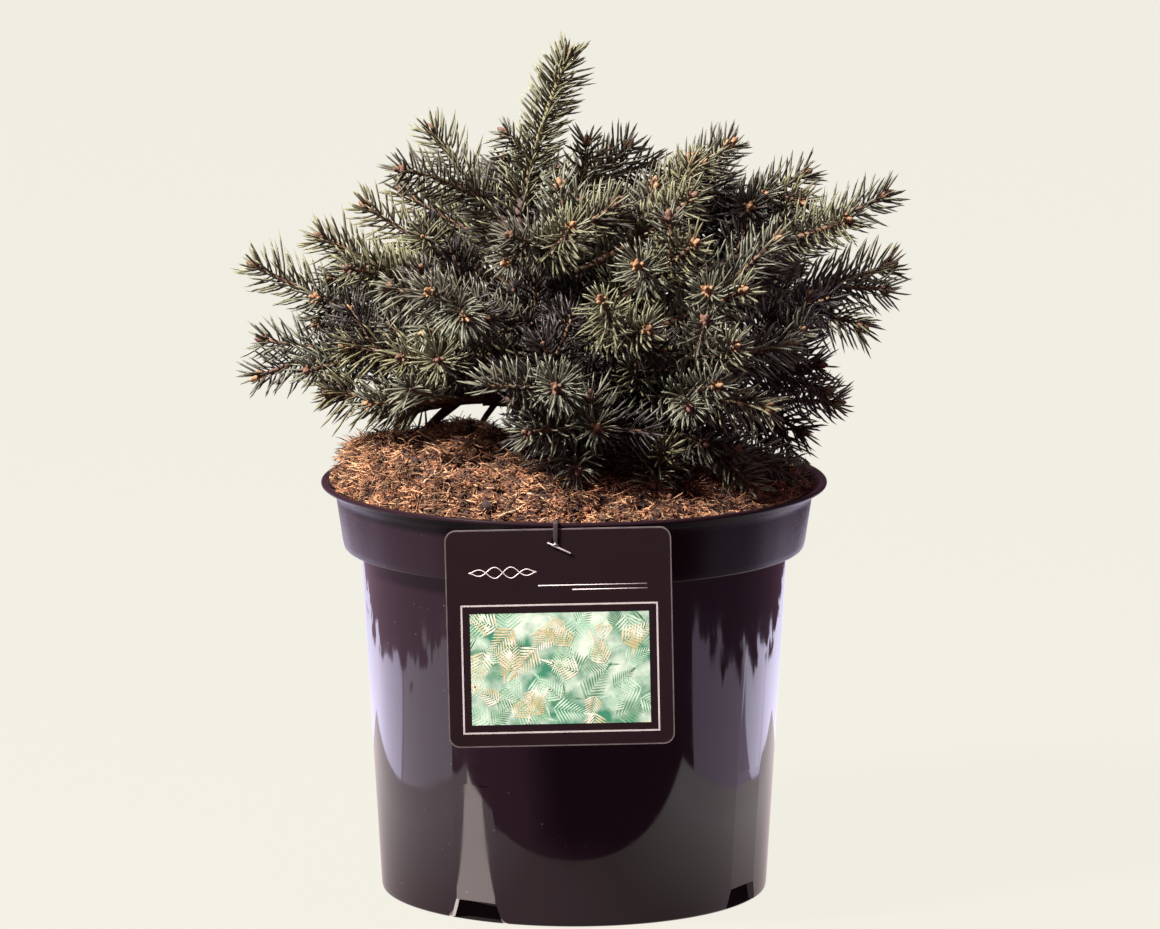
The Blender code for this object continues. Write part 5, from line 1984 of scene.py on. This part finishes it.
@dataclass
class Wood:
    """The trunk and limbs with their bark, the twigs, and the buds at the twigs' tips."""

    skeleton: Skeleton

    def roughen(self, item: Piece, kind: str, size: float, strength: float) -> None:
        """Push a mesh in and out along its normals by a pattern.

        Args:
            item: the object.
            kind: the pattern's type.
            size: the pattern's size.
            strength: how far it pushes.
        """
        pattern = bpy.data.textures.new(f"{item.name}_{kind.lower()}", kind)
        pattern.noise_scale = size
        push = item.modifiers.new("Bark", "DISPLACE")
        push.texture = pattern
        push.texture_coords = "LOCAL"
        push.strength = strength
        push.mid_level = 0.5
        apply_all(item)

    def limbs(self) -> None:
        """The trunk, the boughs and the bare roots of the stems."""
        trunk = self.skeleton.trunk
        line = stretch(trunk.line(), 0.0, length_of(trunk.line()), 1.6 * MM)
        for point in line[:3]:
            point.x, point.y = line[0].x, line[0].y
        body = curve_tubes("trunk_bark", [(line, [trunk.radius(point.z) for point in line])], 28)
        self.roughen(body, "VORONOI", 5.0 * MM, 1.5 * MM)
        self.roughen(body, "CLOUDS", 3.0 * MM, 0.7 * MM)
        bark = BarkFinish("bark", (0.030, 0.019, 0.016), (0.120, 0.078, 0.060), 3.0 * MM, 0.6 * MM)
        finish(body, bark)
        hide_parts("trunk")
        tubes = []
        for branch in self.skeleton.branches:
            end = branch.start + 6.0 * MM if branch.has_bough else max(18.0 * MM, branch.total - 92.0 * MM)
            part = stretch(branch.line, 0.0, end, 2.0 * MM)
            tubes.append((part, [(3.3 - 1.1 * index / len(part)) * MM for index in range(len(part))]))
        for low, high, thick in self.skeleton.low_stems:
            start = Vector(low) * MM
            part = [start.lerp(Vector(high) * MM, step / 8.0) for step in range(9)]
            for step, point in enumerate(part):
                point.z += 1.6 * MM * math.sin(step / 8.0 * math.pi)
            tubes.append((part, [thick * (0.72 + 0.035 * step) * MM for step in range(9)]))
        boughs = curve_tubes("bough_bark", tubes, 12)
        self.roughen(boughs, "VORONOI", 2.6 * MM, 0.8 * MM)
        finish(boughs, bark)
        named = [branch.name for branch in self.skeleton.branches if branch.has_bough]
        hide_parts(*["bough_" + name for name in named])

    def shoots(self) -> None:
        """The twigs that carry the needles."""
        tubes = []
        for twig in self.skeleton.twigs:
            part = stretch(twig.line, 0.0, twig.length, 3.0 * MM)
            change = (twig.tip_radius - twig.root_radius) / (len(part) - 1)
            tubes.append((part, [twig.root_radius + change * index for index in range(len(part))]))
        item = curve_tubes("twigs", tubes, 6)
        self.roughen(item, "CLOUDS", 1.2 * MM, 0.5 * MM)
        green = (0.185, 0.160, 0.085)
        brown = ((0.080, 0.044, 0.033), (0.20, 0.108, 0.063))
        bark = BarkFinish("young_bark", *brown, 1.6 * MM, 0.4 * MM, green)
        finish(item, bark)
        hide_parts(*["foliage_" + branch.name for branch in self.skeleton.branches])

    def bud(self) -> Piece:
        """One scaly bud of unit length, standing on the origin along +Z."""
        bud = drawn("bud", bpy.ops.mesh.primitive_uv_sphere_add, segments=8, ring_count=8, radius=0.5)
        swell = (1.0, 1.12, 0.86, 1.02, 0.8, 0.95, 0.7, 0.8)
        for vert in bud.data.vertices:
            height = vert.co.z + 0.5
            ring = round(height * 7.0)
            turn = math.atan2(vert.co.y, vert.co.x) + (0.39 if ring % 2 else 0.0)
            width = 0.78 * swell[min(7, ring)] * (1.0 - 0.25 * height**1.2)
            radius = math.hypot(vert.co.x, vert.co.y) * width
            vert.co = (radius * math.cos(turn), radius * math.sin(turn), height)
        return bud

    def buds(self) -> None:
        """A bud at each twig's tip, with smaller ones beside it on the outer ones."""
        dice = Random(41)
        places: list[list[Matrix]] = [[], []]
        for twig in self.skeleton.twigs:
            if self.skeleton.in_gap(twig.line[-1], 6.0 * MM):
                continue
            tip, side, over = turning_frames(twig.line)[-1]
            out = twig.line[-1] - self.skeleton.hub
            outer = out.length > self.skeleton.crown_reach(out.normalized()) * 0.78
            size = dice.uniform(4.2, 5.6) * MM if outer else 3.2 * MM
            base = twig.line[-1] + tip * (0.6 if outer else -0.4) * MM
            kind = 0 if dice.random() < 0.5 else 1
            places[kind].append(self.standing(base, tip, size, size * dice.uniform(0.85, 1.05)))
            beside = dice.choice((4, 5, 6)) if outer else dice.choice((0, 1, 2))
            spin = dice.uniform(0.0, 6.28)
            for number in range(beside):
                turn = spin + number * 2.0 * math.pi / max(1, beside)
                outward = side * math.cos(turn) + over * math.sin(turn)
                heading = (tip + outward * dice.uniform(0.7, 1.1)).normalized()
                small = size * dice.uniform(0.62, 0.85)
                start = base - tip * dice.uniform(0.2, 1.6) * MM + outward * twig.tip_radius * 0.5
                places[kind].append(self.standing(start, heading, small, small))
        colours = (
            ("buds_tan", (0.19, 0.092, 0.048), (0.40, 0.235, 0.125)),
            ("buds_brown", (0.080, 0.036, 0.028), (0.21, 0.110, 0.070)),
        )
        for (name, ground, plate), spots in zip(colours, places):
            item = copies(name, self.bud(), spots)
            finish(item, BarkFinish(name, ground, plate, 1.2 * MM, 0.3 * MM))

    def standing(self, base: Vector, heading: Vector, length: float, width: float) -> Matrix:
        """Where a unit bud stands on its base."""
        turn = heading.to_track_quat("Z", "Y").to_matrix().to_4x4()
        return Matrix.Translation(base) @ turn @ Matrix.Diagonal((width, width, length, 1.0))

    def build(self) -> None:
        """Make all of the wood and the buds."""
        self.limbs()
        self.shoots()
        self.buds()


@dataclass(frozen=True)
class Studio:
    """A plain pale floor, soft lights and the camera at the photograph's viewing angle."""

    cream: Triple = (0.880, 0.855, 0.768)
    camera_place: Triple = (2.7 * MM, -3.4, 0.7855)
    camera_pitch: float = math.radians(9.855)
    focal_pixels: float = 7590.0
    picture_width: float = 1160.0
    sensor: float = 36.0
    # The table, sheet, strip and fan below shape the floor's painted reflection, seen only in the pot's
    # gloss; none of them is there to the eye.
    table_half_width: float = 0.255
    table_front: float = 0.173
    table_back: float = 0.30
    crown: Triple = (0.0, 0.0, 0.28)
    sheet_half_width: float = 0.462
    sheet_back: float = 0.94
    strip_offset: float = 0.044
    strip_way: tuple[float, float] = (-0.873, -0.488)
    painted_fan: tuple[tuple[float, Triple], ...] = (
        (0.0, (1.8, 1.55, 1.8)), (101.2, (1.9, 1.65, 1.95)), (101.9, (0.8, 0.65, 0.8)),
        (103.0, (3.1, 2.8, 3.7)), (132.0, (3.0, 2.75, 3.6)), (158.0, (1.3, 1.25, 1.6)),
        (180.0, (0.85, 0.84, 0.98)),
    )

    def camera(self) -> None:
        """The camera, looking along +Y and down."""
        tilt = (math.pi / 2.0 - self.camera_pitch, 0.0, 0.0)
        camera = drawn("camera", bpy.ops.object.camera_add, location=self.camera_place, rotation=tilt)
        camera.data.sensor_width = self.sensor
        camera.data.lens = self.focal_pixels / self.picture_width * self.sensor
        camera.data.clip_end = 200.0
        bpy.context.scene.camera = camera

    def light(self, name: str, place: Triple, size: float, power: float, colour: Triple) -> None:
        """One soft square light that faces the crown.

        Args:
            name: its name.
            place: where it stands.
            size: its side.
            power: its power in watts.
            colour: its colour.
        """
        lamp = drawn(name, bpy.ops.object.light_add, type="AREA", location=place)
        lamp.data.size = size
        lamp.data.energy = power
        lamp.data.color = colour
        lamp.rotation_euler = (Vector(self.crown) - Vector(place)).to_track_quat("-Z", "Y").to_euler()

    def painted_reflection(self, surface: Surface) -> Socket:
        """Painted reflection that only the pot's gloss sees on the floor: a lit table top, a sheet with dark
        round it, a bright strip, a fan of bright colours, and a ragged painted shadow of the crown.

        Args:
            surface: the floor's material.

        Returns:
            The painted reflection's colour.
        """
        maths, mix, ramp, parts = surface.maths, surface.mix, surface.ramp, surface.parts()
        x, y = maths("ABSOLUTE", parts["X"], 0.0), parts["Y"]
        # painted shadow: a ragged noise edge stands for the crown's shadow on the floor within the painted
        # reflection
        ragged = surface.add("TexNoise", {"Vector": surface.place, "Scale": 15.0, "Detail": 3.0})
        sides = maths("LESS_THAN", x, self.table_half_width)
        table = maths("MULTIPLY", sides, maths("GREATER_THAN", y, -self.table_front))
        table = maths("MULTIPLY", table, maths("LESS_THAN", y, self.table_back))
        jag = maths("MULTIPLY", ragged.outputs["Fac"], 0.30)
        back = maths("MAXIMUM", maths("SUBTRACT", y, 0.15), 0.0)
        slant = maths("ADD", x, maths("MULTIPLY", back, 0.30))
        wide = maths("LESS_THAN", maths("ADD", slant, jag), self.sheet_half_width + 0.15)
        deep = maths("LESS_THAN", maths("ADD", y, jag), self.sheet_back + 0.15)
        turn = maths("ARCTAN2", x, maths("MULTIPLY", y, -1.0))
        # the fan of bright colours by the angle round the pot is a painted reflection of soft boxes
        painted_fan = surface.add("ValToRGB", {"Fac": maths("DIVIDE", turn, math.pi)})
        stops = painted_fan.color_ramp.elements
        while len(stops) < len(self.painted_fan):
            stops.new(0.5)
        for stop, (degrees, colour) in zip(stops, self.painted_fan):
            stop.position = degrees / 180.0
            stop.color = (*[part / 4.0 for part in colour], 1.0)
        sheet = surface.add("VectorMath", {0: painted_fan.outputs["Color"], "Scale": 4.0}, operation="SCALE")
        sheet = sheet.outputs["Vector"]
        right = ramp(parts["X"], -0.05, 0.05)
        # the dark round the sheet and on the far sides is painted dark of the room within the painted
        # reflection
        beyond = mix(right, (0.60, 0.38, 0.50), (0.20, 0.10, 0.16))
        near = mix(right, sheet, (1.20, 0.95, 1.30))
        near = mix(maths("GREATER_THAN", y, 0.08), near, sheet)
        glow = mix(maths("MULTIPLY", wide, deep), beyond, near)
        front = maths("LESS_THAN", maths("ADD", y, maths("MULTIPLY", x, 0.52)), 0.0)
        far_side = mix(ramp(x, 0.24, 0.36), (0.15, 0.065, 0.105), beyond)
        glow = mix(front, glow, far_side)
        # the lit table top is a painted reflection; no table is there to the eye
        glow = mix(table, glow, mix(ramp(x, 0.05, 0.20), (0.54, 0.40, 0.40), (1.30, 1.13, 1.15)))
        # a painted bright strip on the table top, seen only in the pot's gloss
        over, ahead = self.strip_way
        along = maths("ADD", maths("MULTIPLY", parts["X"], over), maths("MULTIPLY", parts["Y"], ahead))
        beside = maths("ADD", maths("MULTIPLY", parts["X"], -ahead), maths("MULTIPLY", parts["Y"], over))
        beside = maths("ABSOLUTE", maths("SUBTRACT", beside, self.strip_offset), 0.0)
        painted_strip = maths("MULTIPLY", maths("LESS_THAN", beside, 0.013), maths("GREATER_THAN", along, 0.06))
        return mix(maths("MULTIPLY", painted_strip, table), glow, (4.9, 4.2, 3.9))

    def floor(self) -> None:
        """The pale floor: even to the eye but for a painted shadow under the pot, with a painted reflection
        for the pot's gloss and a faint painted glow as bounce light.
        """
        floor = drawn("floor", bpy.ops.mesh.primitive_plane_add, size=80.0)
        surface = Surface("floor_paper", 0.9)
        # painted shadow: the disc under the pot is painted near black, so the foot's notches look dark
        # inside
        reach = surface.add("VectorMath", {0: surface.place}, operation="LENGTH")
        under = surface.ramp(reach.outputs["Value"], 0.0875, 0.0865)
        cream = surface.mix(under, self.cream, (0.004, 0.002, 0.003))
        seen = surface.add("Emission", {"Color": cream, "Strength": 0.985})
        # the pot's gloss sees the painted reflection instead of the floor
        painted_reflection = surface.add("Emission", {"Color": self.painted_reflection(surface)})
        # painted bounce light: the floor glows faintly for the rays that are neither the camera's nor the
        # gloss's
        bounced = surface.add("Emission", {"Color": (0.56, 0.31, 0.44), "Strength": 0.12})
        soft = surface.add("BsdfDiffuse", {"Color": (0.010, 0.0097, 0.0088)})
        paper = surface.add("AddShader", {0: seen.outputs[0], 1: soft.outputs[0]})
        path = surface.add("LightPath").outputs
        look = bounced
        for ray, other in (("Is Camera Ray", paper), ("Is Glossy Ray", painted_reflection)):
            look = surface.add("MixShader", {0: path[ray], 1: look.outputs[0], 2: other.outputs[0]})
        surface.feed(surface.tree.nodes["Material Output"].inputs["Surface"], look.outputs[0])
        surface.tree.nodes.remove(surface.shader)
        floor.data.materials.append(surface.material)

    def world(self) -> None:
        """A cream world to the eye, dimmer and cooler as light."""
        world = bpy.data.worlds.new("studio")
        bpy.context.scene.world = world
        world.use_nodes = True
        graph = Graph(world.node_tree)
        ambient = graph.tree.nodes["Background"]
        graph.feed(ambient.inputs["Color"], (1.0, 0.50, 0.70))
        graph.feed(ambient.inputs["Strength"], 0.20)
        seen = graph.add("Background", {"Color": self.cream})
        sight = graph.add("LightPath").outputs["Is Camera Ray"]
        mix = graph.add("MixShader", {0: sight, 1: ambient.outputs[0], 2: seen.outputs[0]})
        graph.feed(graph.tree.nodes["World Output"].inputs["Surface"], mix.outputs[0])

    def build(self) -> None:
        """Set the stage."""
        self.light("key_light", (-1.50, -1.00, 2.02), 0.36, 242.0, (1.0, 0.96, 0.88))
        self.light("top_light", (0.1, 0.1, 2.3), 0.8, 11.0, (1.0, 0.96, 0.91))
        self.light("left_light", (-1.9, 0.9, 0.9), 0.8, 5.0, (1.0, 0.90, 1.0))
        self.light("right_light", (1.9, 0.8, 0.9), 0.8, 3.5, (1.0, 0.88, 1.0))
        self.floor()
        self.world()
        self.camera()
        bpy.context.scene.view_settings.view_transform = "Standard"


def main() -> None:
    """Build each sub-assembly in order."""
    logging.basicConfig(level=logging.INFO, format="%(name)s: %(message)s")
    pot = Pot()
    soil = Soil(pot)
    tag = Tag()
    skeleton = Skeleton(Trunk(), soil, pot)
    for part in (pot, soil, tag, Tie(tag, pot), skeleton, Wood(skeleton), Needles(skeleton), Studio()):
        part.build()
    bpy.context.view_layer.update()


if __name__ == "__main__":
    main()
